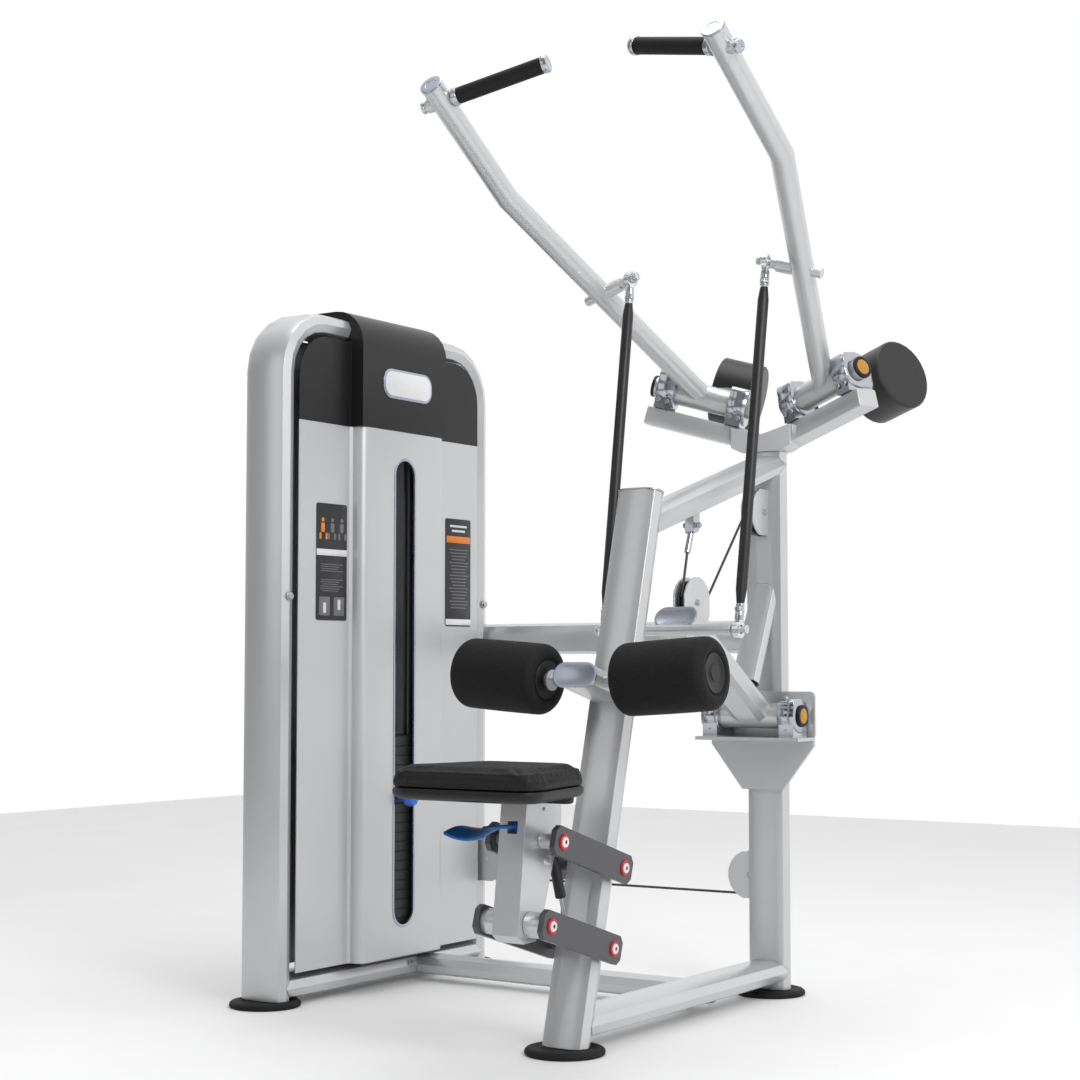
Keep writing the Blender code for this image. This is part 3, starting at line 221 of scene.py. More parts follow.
def padLeather(name, colour):
    f = Finish(name, specular=0.3)
    grain = f.cells(420, "SMOOTH_F1")
    wrinkle = f.cells(95, "DISTANCE_TO_EDGE", f.place.scaled((1, 1.6, 1)))
    cloud = f.noise(7, 4)
    # Creases: rougher and bumped in, and darker in colour as painted shade in the folds
    creaseAndShade = 1 - f.smooth(wrinkle, 0.0, 0.12)
    f.put(baseColor=f.mix(creaseAndShade * 0.4, f.ramp(cloud, colour, 0.8, 1.25), shade(colour, 0.55)))
    f.put(roughness=0.5 + cloud * 0.1 + creaseAndShade * 0.1)
    f.bump(grain * 0.7 - creaseAndShade * 0.5, 0.00025, 0.8)
    return f


def braidedCable(name, colour):
    f = Finish(name, coatWeight=0.3, coatRoughness=0.2)
    twist = f.add("ShaderNodeTexWave", {"bands_direction": "DIAGONAL"}, {"Vector": f.place, "Scale": 160})
    f.put(baseColor=f.ramp(twist, colour, 0.7, 1.3, 0.2, 0.8))
    f.put(roughness=0.34 + twist * 0.08 + f.noise(20, 3) * 0.05)
    f.bump(twist, 0.0002, 0.4)
    return f


# Silver paint below a height and chrome above it
def bracketPaint(name, colour, height):
    f = metallicPaint(name, colour)
    bare = f.place.dot((0, 0, 1)) > height
    cloud = f.noise(2.2, 3)
    f.put(baseColor=f.mix(bare, f.ramp(cloud, colour, 0.95, 1.05), (0.52, 0.54, 0.58)))
    f.put(metallic=bare * 0.45 + 0.55)
    f.put(roughness=0.36 + cloud * 0.05 - bare * 0.2)
    return f


# Black paint between the splits along a direction, chrome beyond them
def zonedPaint(name, colour, direction, splits, rough=0.4):
    f = Finish(name, coatWeight=0.15, coatRoughness=0.3)
    along = f.place.dot(direction)
    bare = (along < splits[0]) + (along > splits[1])
    cloud = f.noise(8, 4)
    grain = f.noise(900, 2)
    f.put(baseColor=f.mix(bare, f.ramp(cloud, colour, 0.8, 1.3), (0.78, 0.79, 0.82)))
    f.put(metallic=bare * 0.95 + 0.05)
    f.put(roughness=rough + cloud * 0.08 - bare * 0.24)
    f.bump(grain, 0.0001, 0.5, 0.0012)
    return f


# Finishes of the record's slots and of single nodes

silver = metallicPaint("silverPaint", (0.6, 0.605, 0.615))
panelSilver = metallicPaint("panelSilver", (0.58, 0.585, 0.595), 0.5, 0.4, 0.04, 0.15)
bracketSilver = bracketPaint("bracketPaint", (0.56, 0.565, 0.575), 0.608)
chrome = polishedMetal("chromeCasting", (0.52, 0.54, 0.58), 0.13)
capMetal = polishedMetal("capMetal", (0.46, 0.49, 0.57), 0.26)
turnedSteel = polishedMetal("turnedSteel", (0.5, 0.5, 0.52), 0.28)
cowlPlastic = mouldedPlastic("cowlPlastic", (0.012, 0.012, 0.013), 0.36)
basePlastic = mouldedPlastic("basePlastic", (0.006, 0.006, 0.0065), 0.45)
footRubber = matteRubber("footRubber", (0.008, 0.008, 0.0085))
gripRubber = matteRubber("gripRubber", (0.006, 0.006, 0.0065), 0.62, 700, 0.0003)
weightPaint = metallicPaint("weightPaint", (0.01, 0.01, 0.0105), 0.1, 0.42, 0.25, 0.1)
linkPaint = metallicPaint("linkPaint", (0.075, 0.075, 0.08), 0.25, 0.42, 0.1, 0.1)
platePaint = metallicPaint("platePaint", (0.02, 0.02, 0.021), 0.1, 0.5, 0.25, 0.0)
# Dark steel for the guide rods: their chrome darkened as painted shade for the inside of the slot
paintedShadeSteel = polishedMetal("paintedShadeSteel", (0.16, 0.16, 0.17), 0.3)
cableCoat = braidedCable("cableCoat", (0.02, 0.02, 0.021))
blueHandle = mouldedPlastic("blueHandle", (0.012, 0.13, 0.42), 0.36, 500)
blueKnob = mouldedPlastic("blueKnob", (0.06, 0.17, 0.75), 0.3, 500)
pulleyNylon = mouldedPlastic("pulleyNylon", (0.045, 0.045, 0.05), 0.4)
leather = padLeather("padLeather", (0.006, 0.006, 0.0063))
foam = foamSkin("foamSkin", (0.006, 0.006, 0.0063))
amber = mouldedPlastic("amberCap", (0.48, 0.22, 0.03), 0.28, 300)
redRing = mouldedPlastic("redRing", (0.55, 0.02, 0.025), 0.35)
whiteCap = mouldedPlastic("whiteCap", (0.72, 0.72, 0.72), 0.35)
placardDark = mouldedPlastic("placardDark", (0.03, 0.03, 0.034), 0.3, 900, 0.00005)
placardLight = mouldedPlastic("placardLight", (0.7, 0.7, 0.71), 0.35, 900, 0.00005)
placardGrey = mouldedPlastic("placardGrey", (0.16, 0.16, 0.17), 0.35, 900, 0.00005)
placardAmber = mouldedPlastic("placardAmber", (0.75, 0.22, 0.03), 0.35, 900, 0.00005)
pushRod = zonedPaint("pushRodPaint", (0.007, 0.007, 0.0075), (0, 0, 1), (0.905, 1.608))

slotFinish = {
    "silver_paint": silver, "chrome": chrome, "black_plastic": cowlPlastic, "rubber": footRubber,
    "black_paint": weightPaint, "grey_paint": linkPaint, "steel": turnedSteel, "plate_paint": platePaint,
    "cable_plastic": cableCoat, "blue_plastic": blueHandle, "upholstery": leather, "foam": foam,
    "pulley_plastic": pulleyNylon,
}
nodeFinish = {
    "front_panel": panelSilver, "rear_panel": panelSilver, "selector_pin": blueKnob, "top_plate": platePaint,
    # guide_rods take the dark steel, which paints the shade inside the slot
    "lever_bracket": bracketSilver, "guide_rods": paintedShadeSteel, "push_rod_left": pushRod,
    "push_rod_right": pushRod,
}
slotOf = {row["node"]: row["material_slot"] for row in frame["record"]["subparts"]}

shading = {"frame": 32, "piece": 34,    # degrees between faces that shade as one
           "gridPerMetre": 20000}       # points in one cell of this grid count as one


def pointsOf(mesh):
    return np.array([v.co for v in mesh.vertices])


def unit(ways):
    return ways / np.maximum(np.linalg.norm(ways, axis=-1, keepdims=True), 1e-12)


# Smooth shading across edges flatter than widest, with the mesh's points left as they are
def softShading(piece, widest):
    mesh = piece.data
    points = pointsOf(mesh)
    corners = np.array([loop.vertex_index for loop in mesh.loops])
    triangle = points[corners].reshape(-1, 3, 3)
    face = unit(np.cross(triangle[:, 1] - triangle[:, 0], triangle[:, 2] - triangle[:, 0]))
    grid = np.round(points * shading["gridPerMetre"]).astype(np.int64)
    place = np.unique(grid, axis=0, return_inverse=True)[1].reshape(-1)[corners]
    ends = unit(np.roll(triangle, -1, axis=1) - triangle)
    starts = unit(np.roll(triangle, 1, axis=1) - triangle)
    angle = np.arccos(np.clip((ends * starts).sum(2), -1, 1)).reshape(-1)
    order = np.argsort(place, kind="stable")
    breaks = np.flatnonzero(np.diff(place[order])) + 1
    result = np.repeat(face, 3, axis=0)
    limit = cos(radians(widest))
    for group in np.split(order, breaks):
        own = face[group // 3]
        near = (own @ own.T) > limit
        result[group] = unit((near * angle[group]) @ own)
    mesh.shade_smooth()
    mesh.normals_split_custom_set(result.tolist())


for name, node in frame["nodes"].items():
    finish = nodeFinish.get(name) or slotFinish[slotOf[name]]
    node.data.materials.clear()
    node.data.materials.append(finish.material)
    softShading(node, shading["frame"])
print("finishes on the frame's nodes")


# Shapes: each maker returns points and faces, and build() turns them into one piece

# Turns (along, radius) pairs round an axis; a radius of 0 closes an end at a point
def lathe(profile, centre, axis, sides=48, ring=False):
    axis = Vector(axis).normalized()
    side = axis.orthogonal().normalized()
    other = axis.cross(side)
    points, rows, faces = [], [], []
    for along, radius in profile:
        middle = Vector(centre) + axis * along
        if radius == 0:
            rows.append([len(points)] * sides)
            points.append(middle)
            continue
        rows.append(list(range(len(points), len(points) + sides)))
        for k in range(sides):
            turn = 2 * pi * k / sides
            points.append(middle + (side * cos(turn) + other * sin(turn)) * radius)
    pairs = list(zip(rows, rows[1:])) + ([(rows[-1], rows[0])] if ring else [])
    for low, high in pairs:
        for k in range(sides):
            n = (k + 1) % sides
            corners = [low[k], low[n], high[n], high[k]]
            faces.append([c for i, c in enumerate(corners) if c not in corners[:i]])
    if not ring:
        for row in (rows[0], rows[-1]):
            if len(set(row)) > 1:
                faces.append(row)
    return points, faces


# Joins flat outlines of equal length, one above another, and closes the ends or joins them too
def stacked(levels, place, ring=False):
    points, faces = [], []
    count, rows = len(levels[0][1]), len(levels)
    for height, outline in levels:
        points += [place(u, v, height) for u, v in outline]
    for row in range(rows if ring else rows - 1):
        low, high = row * count, (row + 1) % rows * count
        for k in range(count):
            n = (k + 1) % count
            faces.append([low + k, low + n, high + n, high + k])
    if not ring:
        faces += [list(range(count)), list(range((rows - 1) * count, rows * count))]
    return points, faces


def roundedBox(halfWide, halfHigh, corner, inset=0.0, steps=8):
    wide, high = halfWide - inset, halfHigh - inset
    bend = max(corner - inset, 0.0004)
    outline = []
    for quarter, (u, v) in enumerate(((1, 1), (-1, 1), (-1, -1), (1, -1))):
        for k in range(steps + 1):
            turn = pi / 2 * (quarter + k / steps)
            outline.append((u * (wide - bend) + bend * cos(turn), v * (high - bend) + bend * sin(turn)))
    return outline


# A flat plate with a softened front edge
def plate(halfWide, halfHigh, corner, thick, place, edge=0.001, low=0.0):
    high = low + thick
    levels = [(low, 0), (high - edge, 0), (high - edge * 0.3, edge * 0.3), (high, edge)]
    return stacked([(h, roundedBox(halfWide, halfHigh, corner, inset)) for h, inset in levels], place)


xAxis, yAxis, zAxis = Vector((1, 0, 0)), Vector((0, 1, 0)), Vector((0, 0, 1))


def facing(centre, u=xAxis, v=yAxis, out=zAxis):
    centre = Vector(centre)
    return lambda a, b, h: centre + u * a + v * b + out * h


# A domed washer under a chamfered hexagon head
def hexBolt(centre, axis, size):
    base, tall = size * 0.22, size * 0.62
    washer = [(0, size * 1.25), (base * 0.6, size * 1.22), (base, size * 1.1), (base, 0)]
    head = [(base * 0.8, size), (base + tall * 0.8, size), (base + tall, size * 0.86), (base + tall, 0)]
    return [lathe(washer, centre, axis, 32), lathe(head, centre, axis, 6)]


def mirrorX(parts):
    return [([Vector((-p[0], p[1], p[2])) for p in points], [f[::-1] for f in faces])
            for points, faces in parts]


sides = (("Right", lambda parts: parts), ("Left", mirrorX))    # made on the right, mirrored for the left


def show(name, data):
    made = bpy.data.objects.new(name, data)
    bpy.context.scene.collection.objects.link(made)
    return made


# Faces turn outward, and those of more corners than longest become triangles
def newPiece(name, points, faces, longest=None):
    mesh = bpy.data.meshes.new(name)
    mesh.from_pydata([tuple(p) for p in points], [], faces)
    work = bmesh.new()
    work.from_mesh(mesh)
    if longest:
        bmesh.ops.triangulate(work, faces=[f for f in work.faces if len(f.verts) > longest])
    bmesh.ops.recalc_face_normals(work, faces=work.faces)
    work.to_mesh(mesh)
    work.free()
    return show(name, mesh)


def build(name, parts, finish, body, stands=(), widest=shading["piece"]):
    points, faces = [], []
    for somePoints, someFaces in parts:
        base = len(points)
        points += somePoints
        faces += [[base + k for k in face] for face in someFaces]
    piece = newPiece(name, points, faces)
    piece.data.materials.append(finish.material)
    piece.data.shade_smooth()
    piece.data.set_sharp_from_angle(angle=radians(widest))
    if body:
        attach(piece, body)
    if stands:
        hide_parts(*stands)
    return piece


# Feet: soft-edged round pads

feet = {"radius": 0.0815, "height": 0.014,
        "places": {"front_foot": (0, 0), "rear_foot": (0, 0.88),
                   "tower_near_foot": (-0.872, 0.086), "tower_far_foot": (-0.872, 0.845)}}


def makeFoot(node, x, y):
    r, h = feet["radius"], feet["height"]
    profile = [(0, r - 0.004), (0.002, r - 0.0008), (0.006, r), (h - 0.004, r - 0.0012), (h - 0.001, r - 0.005),
               (h, r - 0.009), (h, 0.06), (h - 0.001, 0.058)]
    low = lathe(profile, (x, y, 0), zAxis, 72)
    build(node.replace("_", "") + "Pad", [low], footRubber, "frame", (node,))


for node, (x, y) in feet["places"].items():
    makeFoot(node, x, y)


# Tube ends: bevelled caps pressed into the flat-oval tubes

tube = {"halfWide": 0.0525, "halfThick": 0.026, "postTilt": radians(14.7), "postLength": 1.18,
        "leverPivot": Vector((0, 0.808, 0.655)), "leverEnd": Vector((0, 0.447, 0.877)),
        "thighCap": Vector((0, 0.04, 0.752)), "capHeight": 0.0045}


def tubeCap(name, end, out, body):
    v = xAxis.cross(out)
    where = facing(end, xAxis, v, out)
    wide, thick, tall = tube["halfWide"] + 0.0006, tube["halfThick"] + 0.0006, tube["capHeight"]
    levels = [(0.0002, 0.0006), (0.0008, 0), (tall - 0.0014, 0), (tall - 0.0004, 0.0007), (tall, 0.002),
              (tall, 0.0055), (tall - 0.0005, 0.0065)]
    outlines = [(h, roundedBox(wide, thick, thick, inset, 10)) for h, inset in levels]
    build(name, [stacked(outlines, where)], capMetal, body)


postUp = Vector((0, sin(tube["postTilt"]), cos(tube["postTilt"])))
tubeCap("postCap", postUp * tube["postLength"], postUp, "frame")
leverOut = (tube["leverEnd"] - tube["leverPivot"]).normalized()
tubeCap("leverCap", tube["leverEnd"], leverOut, "lever")
tubeCap("thighBeamCap", tube["thighCap"], Vector((0, -cos(tube["postTilt"]), sin(tube["postTilt"]))), "frame")
print("feet and tube caps made")


# Arms: grips, end rings and disc caps

arm = {"top": Vector((0.346, 0.006, 2.018)), "bend": Vector((0.347, 0.294, 1.828)), "radius": 0.0255,
       "pivot": Vector((0.161, 0.864, 1.423)), "axis": Vector((0.913, -0.308, 0.266)).normalized(),
       "handleRoot": Vector((0.346, 0.045, 1.9925)), "handleEnd": Vector((0.107, 0.1, 2.05)),
       "gripRadius": 0.018, "gripBore": 0.0128, "bands": 26, "collar": 0.012, "rim": 0.0199,
       "bossBack": 0.0402}


# A rubber sleeve with rolled lips and shallow finger bands
def gripProfile(low, high, inner, outer):
    lip, bands = 0.0035, arm["bands"]
    edge = [(0, inner), (0, outer - 0.0025), (0.0008, outer - 0.0008), (lip, outer)]
    start, end = low + lip + 0.002, high - lip - 0.002
    step = (end - start) / bands
    profile = [(low + along, radius) for along, radius in edge]
    for k in range(bands):
        at = start + step * k
        profile += [(at, outer), (at + step * 0.12, outer - 0.00028), (at + step * 0.24, outer - 0.00028),
                    (at + step * 0.36, outer)]
    return profile + [(high - along, radius) for along, radius in reversed(edge)]


def makeHandle(side, flip):
    body, root, rim = "arm_" + side.lower(), arm["handleRoot"], arm["rim"]
    reach = arm["handleEnd"] - root
    axis, length = reach.normalized(), reach.length
    start, tip = arm["radius"] + 0.001, length - arm["collar"]
    low = start + arm["collar"] + 0.0003
    profile = gripProfile(low, tip - 0.0003, arm["gripBore"], arm["gripRadius"])
    sleeve = lathe(profile, root, axis, 40, ring=True)
    build("grip" + side, flip([sleeve]), gripRubber, body, ("grip_" + side.lower(),), 60)
    rings = [lathe([(tip - 0.0002, 0.0185), (tip - 0.0002, rim - 0.0008), (tip + 0.001, rim),
                    (length - 0.001, rim), (length + 0.0012, rim - 0.0012), (length + 0.0022, rim - 0.004),
                    (length + 0.0022, 0.012), (length + 0.0016, 0.0115), (length + 0.0016, 0)], root, axis, 40),
             lathe([(start, 0.0185), (start, rim - 0.001), (start + 0.001, rim), (low - 0.0013, rim),
                    (low - 0.0003, rim - 0.001), (low - 0.0003, 0.0185)], root, axis, 40, ring=True)]
    build("gripRings" + side, flip(rings), chrome, body)
    up = (arm["top"] - arm["bend"]).normalized()
    r = arm["radius"] + 0.0006
    disc = lathe([(0.0002, r - 0.0008), (0.0012, r), (0.0036, r), (0.0048, r - 0.0012), (0.005, r - 0.003),
                  (0.005, 0.0135), (0.0042, 0.0125), (0.0042, 0)], arm["top"], up)
    build("armCap" + side, flip([disc]), capMetal, body)
    head = lathe([(0, 0.0128), (-0.001, 0.0135), (-0.006, 0.0135), (-0.0075, 0.012), (-0.0075, 0.006),
                  (-0.006, 0.0055), (-0.006, 0)], root - axis * arm["bossBack"], axis, 32)
    build("handleBoss" + side, flip([head]), chrome, body)


# Black rings and amber caps on the ends of the arms' and the lever's shafts

shaftEnds = {
    "arm": {"reach": 0.128,
            "ring": [(-0.0045, 0.0252), (-0.004, 0.0265), (0.001, 0.0265), (0.0025, 0.0252), (0.003, 0.0235),
                     (0.003, 0.0195), (0.0012, 0.0188), (0.0003, 0.0188), (0.0003, 0.0252)],
            "cap": [(0.0004, 0.0186), (0.0022, 0.0184), (0.0034, 0.0168), (0.004, 0.013), (0.0034, 0.0122),
                    (0.0034, 0.0088), (0.0042, 0.008), (0.0046, 0.004), (0.0046, 0)]},
    "lever": {"reach": 0.127,
              "ring": [(-0.0045, 0.0238), (-0.004, 0.0255), (0.001, 0.0255), (0.0025, 0.0243), (0.003, 0.0225),
                       (0.003, 0.019), (0.0012, 0.0185), (0.0003, 0.0185), (0.0003, 0.0238)],
              "cap": [(0.0004, 0.0182), (0.0022, 0.018), (0.0034, 0.0164), (0.004, 0.0125), (0.0034, 0.0118),
                      (0.0034, 0.0085), (0.0044, 0.0078), (0.0044, 0)]},
}


def makeShaftEnds(kind, names, pivot, axis, body, flip):
    shape, rings, caps = shaftEnds[kind], [], []
    for out in (-axis, axis):
        end = pivot + out * shape["reach"]
        rings.append(lathe(shape["ring"], end, out, ring=True))
        caps.append(lathe(shape["cap"], end, out, 40))
    build(names[0], flip(rings), basePlastic, body)
    build(names[1], flip(caps), amber, body)


for side, flip in sides:
    makeHandle(side, flip)
    names = ("shaftRings" + side, "shaftCaps" + side)
    makeShaftEnds("arm", names, arm["pivot"], arm["axis"], "arm_" + side.lower(), flip)
print("handles made")
makeShaftEnds("lever", ("leverRings", "leverCaps"), tube["leverPivot"], xAxis, "lever", sides[0][1])


# Thigh rollers: textured foam with a sunken ring and a disc at each end

roller = {"inner": Vector((0.09, 0.076, 0.742)), "outer": Vector((0.302, 0.084, 0.757)), "radius": 0.074,
          "round": 0.02, "bore": 0.0131, "recess": 0.006, "disc": 0.041}


def rollerCurve(edge, radius, bend, start, end, steps=6):
    turns = [start + (end - start) * k / steps for k in range(steps + 1)]
    return [(edge + bend * cos(turn), radius - bend + bend * sin(turn)) for turn in turns]


def makeRoller(side, flip):
    inner, outer = roller["inner"], roller["outer"]
    axis = (outer - inner).normalized()
    length = (outer - inner).length
    r, bend, bore, disc, deep = (roller[k] for k in ("radius", "round", "bore", "disc", "recess"))
    lip = disc + 0.006
    rim = [(deep, bore), (deep, disc + 0.001), (deep - 0.003, lip - 0.001), (0.001, lip), (0, lip + 0.002)]
    profile = rim + rollerCurve(bend, r, bend, pi, pi / 2)
    middle = [(bend + (length - 2 * bend) * k / 8, r + 0.0006 * sin(pi * k / 8)) for k in range(1, 8)]
    profile += middle + rollerCurve(length - bend, r, bend, pi / 2, 0)
    profile += [(length - along, radius) for along, radius in reversed(rim)]
    body = "roller_" + side.lower()
    skin = build("thighRoller" + side, flip([lathe(profile, inner, axis, 72, ring=True)]), foam, body,
                 ("thigh_roller_" + side.lower(),), 50)
    near = length - deep
    cap = [lathe([(near, 0.012), (near, disc), (near + 0.002, disc), (near + 0.0032, disc - 0.0012),
                  (near + 0.0034, disc - 0.006), (near + 0.0022, disc - 0.008), (near + 0.0022, 0.019),
                  (near + 0.0042, 0.0175), (near + 0.0042, 0)], inner, axis, 56)]
    cap.append(lathe([(deep, bore), (deep, disc), (deep - 0.002, disc), (deep - 0.0034, disc - 0.0014),
                      (deep - 0.0034, bore + 0.0075), (deep - 0.0024, bore)], inner, axis, 56, ring=True))
    build("rollerDiscs" + side, flip(cap), basePlastic, body)


for side, flip in sides:
    makeRoller(side, flip)
print("rollers made")


# Seat links: red-ringed white caps on the pins

links = {"plateX": 0.082, "lowerFront": Vector((0, 0.054, 0.207)), "upperFront": Vector((0, 0.0955, 0.3635)),
         "reach": Vector((0, -0.2225, 0.068)), "ring": 0.0155, "cap": 0.0105}


def makePinCaps(name, front, body):
    reds, whites, sockets = [], [], []
    r, c = links["ring"], links["cap"]
    for end in (front, front + links["reach"]):
        for way in (-1, 1):
            out = xAxis * way
            at = end + out * (links["plateX"] + 0.0002)
            reds.append(lathe([(0, c), (0, r), (0.0022, r), (0.0032, r - 0.001), (0.0036, r - 0.003),
                               (0.0032, c + 0.0003)], at, out, 40, ring=True))
            whites.append(lathe([(0, c), (0.0036, c), (0.0052, c - 0.0012), (0.0058, c - 0.003),
                                 (0.0058, 0.0045), (0.0036, 0.004), (0.0036, 0)], at, out, 36))
            sockets.append(lathe([(0.0037, 0.0041), (0.0043, 0.004), (0.0043, 0)], at, out, 6))
    build(name + "Rings", reds, redRing, body)
    build(name + "Sockets", sockets, basePlastic, body)
    build(name + "Caps", whites, whiteCap, body)


makePinCaps("lowerLinkPin", links["lowerFront"], "seat_links_lower")
makePinCaps("upperLinkPin", links["upperFront"], "seat_links_upper")


# Tower: the slot's rim, plain placards and a blank badge

tower = {"bulgeX": -0.772, "wingX": -0.808, "slotY": 0.4655, "slotHalf": 0.0375, "slotLow": 0.15,
         "slotHigh": 1.27}
badge = {"y": 0.473, "z": 1.454, "halfWide": 0.095, "halfHigh": 0.036, "corner": 0.03, "rim": 0.006}


def onTower(y, z, x):
    return facing((x, y, z), yAxis, zAxis, xAxis)


def makeSlotRim():
    half, low, high = tower["slotHalf"], tower["slotLow"], tower["slotHigh"]
    where = onTower(tower["slotY"], (low + high) / 2, tower["bulgeX"])
    section = [(0.0004, 0), (0.0004, -0.0055), (0.0016, -0.0045), (0.002, -0.003), (0.0012, 0.0004),
               (-0.003, 0.0012), (-0.003, 0.0004)]
    levels = [(h, roundedBox(half, (high - low) / 2, half, inset, 16)) for h, inset in section]
    build("slotRim", [stacked(levels, where, ring=True)], capMetal, "frame")


placards = {
    "left": {"y": 0.232, "z": 1.014, "halfWide": 0.055, "halfHigh": 0.137},
    "right": {"y": 0.7305, "z": 1.008, "halfWide": 0.0535, "halfHigh": 0.137},
}


def placardBase(name, p):
    where = onTower(p["y"], p["z"], tower["wingX"] + 0.0002)
    build(name, [plate(p["halfWide"], p["halfHigh"], 0.006, 0.0014, where, 0.0006)], placardDark, "frame")


def band(p, across, up, halfWide, halfHigh, corner=0.001, lift=0.0):
    where = onTower(p["y"] + across, p["z"] + up, tower["wingX"] + 0.0016)
    return plate(halfWide, halfHigh, corner, 0.0005 + lift, where, 0.0002)


# A plain stand-in for an exercise picture: a dot over a few rounded bars
def figure(p, across, up, size, lean):
    where = onTower(p["y"] + across, p["z"] + up, tower["wingX"] + 0.0016)
    head = lathe([(0, size * 0.2), (0.0005, size * 0.2), (0.0006, size * 0.17), (0.0006, 0)],
                 where(0, size * 0.85, 0), xAxis, 20)
    bars = [band(p, across, up + size * 0.15, size * 0.26, size * 0.42, size * 0.16)]
    for shift in (0.5, -0.35):
        foot = across + lean * size * shift
        bars.append(band(p, foot, up - size * 0.62, size * 0.14, size * 0.3, size * 0.12))
    return [head] + bars


def makePlacards():
    left, right = placards["left"], placards["right"]
    placardBase("placardLeft", left)
    placardBase("placardRight", right)
    whites = [band(left, 0, 0.022, 0.055, 0.0075)]
    greys, ambers = [], []
    for group, across, lean in ((ambers, -0.033, 1), (greys, 0.001, -1), (greys, 0.035, 1)):
        group += figure(left, across, 0.076, 0.026, lean)
    for rows, top in ((4, -0.006), (6, -0.042)):
        for k in range(rows):
            across = -0.006 if k % 3 else 0
            greys.append(band(left, across, top - 0.0052 * k, 0.04 - 0.006 * (k % 3), 0.0011, 0.0005))
    for across in (-0.026, 0.026):
        greys.append(band(left, across, -0.104, 0.019, 0.022, 0.003))
    whites.append(band(left, -0.026, -0.108, 0.005, 0.012, 0.002, 0.0004))
    whites.append(band(left, 0.026, -0.1, 0.005, 0.012, 0.002, 0.0004))
    build("placardLeftGrey", greys, placardGrey, "frame")
    build("placardLeftWhite", whites, placardLight, "frame")
    build("placardLeftAmber", ambers, placardAmber, "frame")
    heads = [band(right, 0, 0.118 - 0.012 * k, 0.036 - 0.008 * (k % 2), 0.0028, 0.0008) for k in range(2)]
    lines = [band(right, 0.002 * (k % 3), 0.058 - 0.0082 * k, 0.04 - 0.004 * (k % 4), 0.0014, 0.0006)
             for k in range(19)]
    foot = [band(right, 0, -0.126, 0.0535, 0.0075)]
    build("placardRightLines", lines, placardGrey, "frame")
    build("placardRightWhite", heads + foot, placardLight, "frame")
    build("placardRightAmber", [band(right, 0, 0.084, 0.05, 0.0085, 0.002)], placardAmber, "frame")


def makeBadge():
    b, rim = badge, badge["rim"]
    where = onTower(b["y"], b["z"], tower["bulgeX"] + 0.0008)
    outer = plate(b["halfWide"], b["halfHigh"], b["corner"], 0.0022, where, 0.0012)
    inner = plate(b["halfWide"] - rim, b["halfHigh"] - rim, 0.025, 0.001, where, 0.0006, 0.0022)
    build("badgeRim", [outer], capMetal, "frame")
    build("badgeFace", [inner], placardLight, "frame")


makeSlotRim()
makePlacards()
makeBadge()
print("tower trim made")


# Seat: a sewn cushion on its moulded base

seat = {"backY": -0.375, "frontY": -0.095, "backHalf": 0.18, "frontHalf": 0.125, "backRound": 0.06,
        "frontRound": 0.04, "bottom": 0.5409, "top": 0.5786, "baseLow": 0.5178, "seamDrop": 0.01,
        "voxel": 0.005, "pressure": 4, "steps": 20, "swell": 0.006, "groove": 0.0032, "crown": 0.0028,
        "piping": 0.0014}


# The cushion's plan: wide and round at the back, narrow at the front
def seatOutline(inset, steps=14):
    back, front = seat["backY"] + inset, seat["frontY"] - inset
    wide, narrow = seat["backHalf"] - inset, seat["frontHalf"] - inset
    corners = [((narrow, front), seat["frontRound"]), ((-narrow, front), seat["frontRound"]),
               ((-wide, back), seat["backRound"]), ((wide, back), seat["backRound"])]
    outline = []
    for k, (corner, bend) in enumerate(corners):
        before, after = Vector(corners[k - 1][0]), Vector(corners[(k + 1) % 4][0])
        point = Vector(corner)
        incoming, outgoing = (point - before).normalized(), (after - point).normalized()
        start, end = point - incoming * bend, point + outgoing * bend
        for n in range(steps + 1):
            t = n / steps
            outline.append(tuple(start * (1 - t) ** 2 + point * 2 * t * (1 - t) + end * t * t))
        for n in range(1, 8):
            side = after - outgoing * corners[(k + 1) % 4][1] - end
            outline.append(tuple(end + side * n / 8))
    return outline


# Blows the closed cushion up a little with Cloth, then keeps each point within the swell
def simulateSwell(piece):
    rest = pointsOf(piece.data)
    pinned = piece.vertex_groups.new(name="base")
    pinned.add([v.index for v in piece.data.vertices if v.co.z < seat["bottom"] + 0.004], 1.0, "REPLACE")
    cloth = piece.modifiers.new("cloth", "CLOTH")
    cloth.settings.use_pressure = True
    cloth.settings.uniform_pressure_force = seat["pressure"]
    cloth.settings.effector_weights.gravity = 0
    cloth.settings.vertex_group_mass = "base"
    scene = bpy.context.scene
    for k in range(1, seat["steps"] + 1):
        scene.frame_set(k)
    settle(piece)
    scene.frame_set(1)
    moved = pointsOf(piece.data) - rest
    far = np.maximum(np.linalg.norm(moved, axis=1, keepdims=True), 1e-9)
    final = rest + moved * np.minimum(1, seat["swell"] / far)
    piece.data.vertices.foreach_set("co", final.reshape(-1))
    piece.data.update()


# Applies the piece's modifiers by taking its evaluated mesh
def settle(piece):
    graph = bpy.context.evaluated_depsgraph_get()
    made = bpy.data.meshes.new_from_object(piece.evaluated_get(graph))
    old = piece.data
    piece.modifiers.clear()
    piece.data = made
    bpy.data.meshes.remove(old)


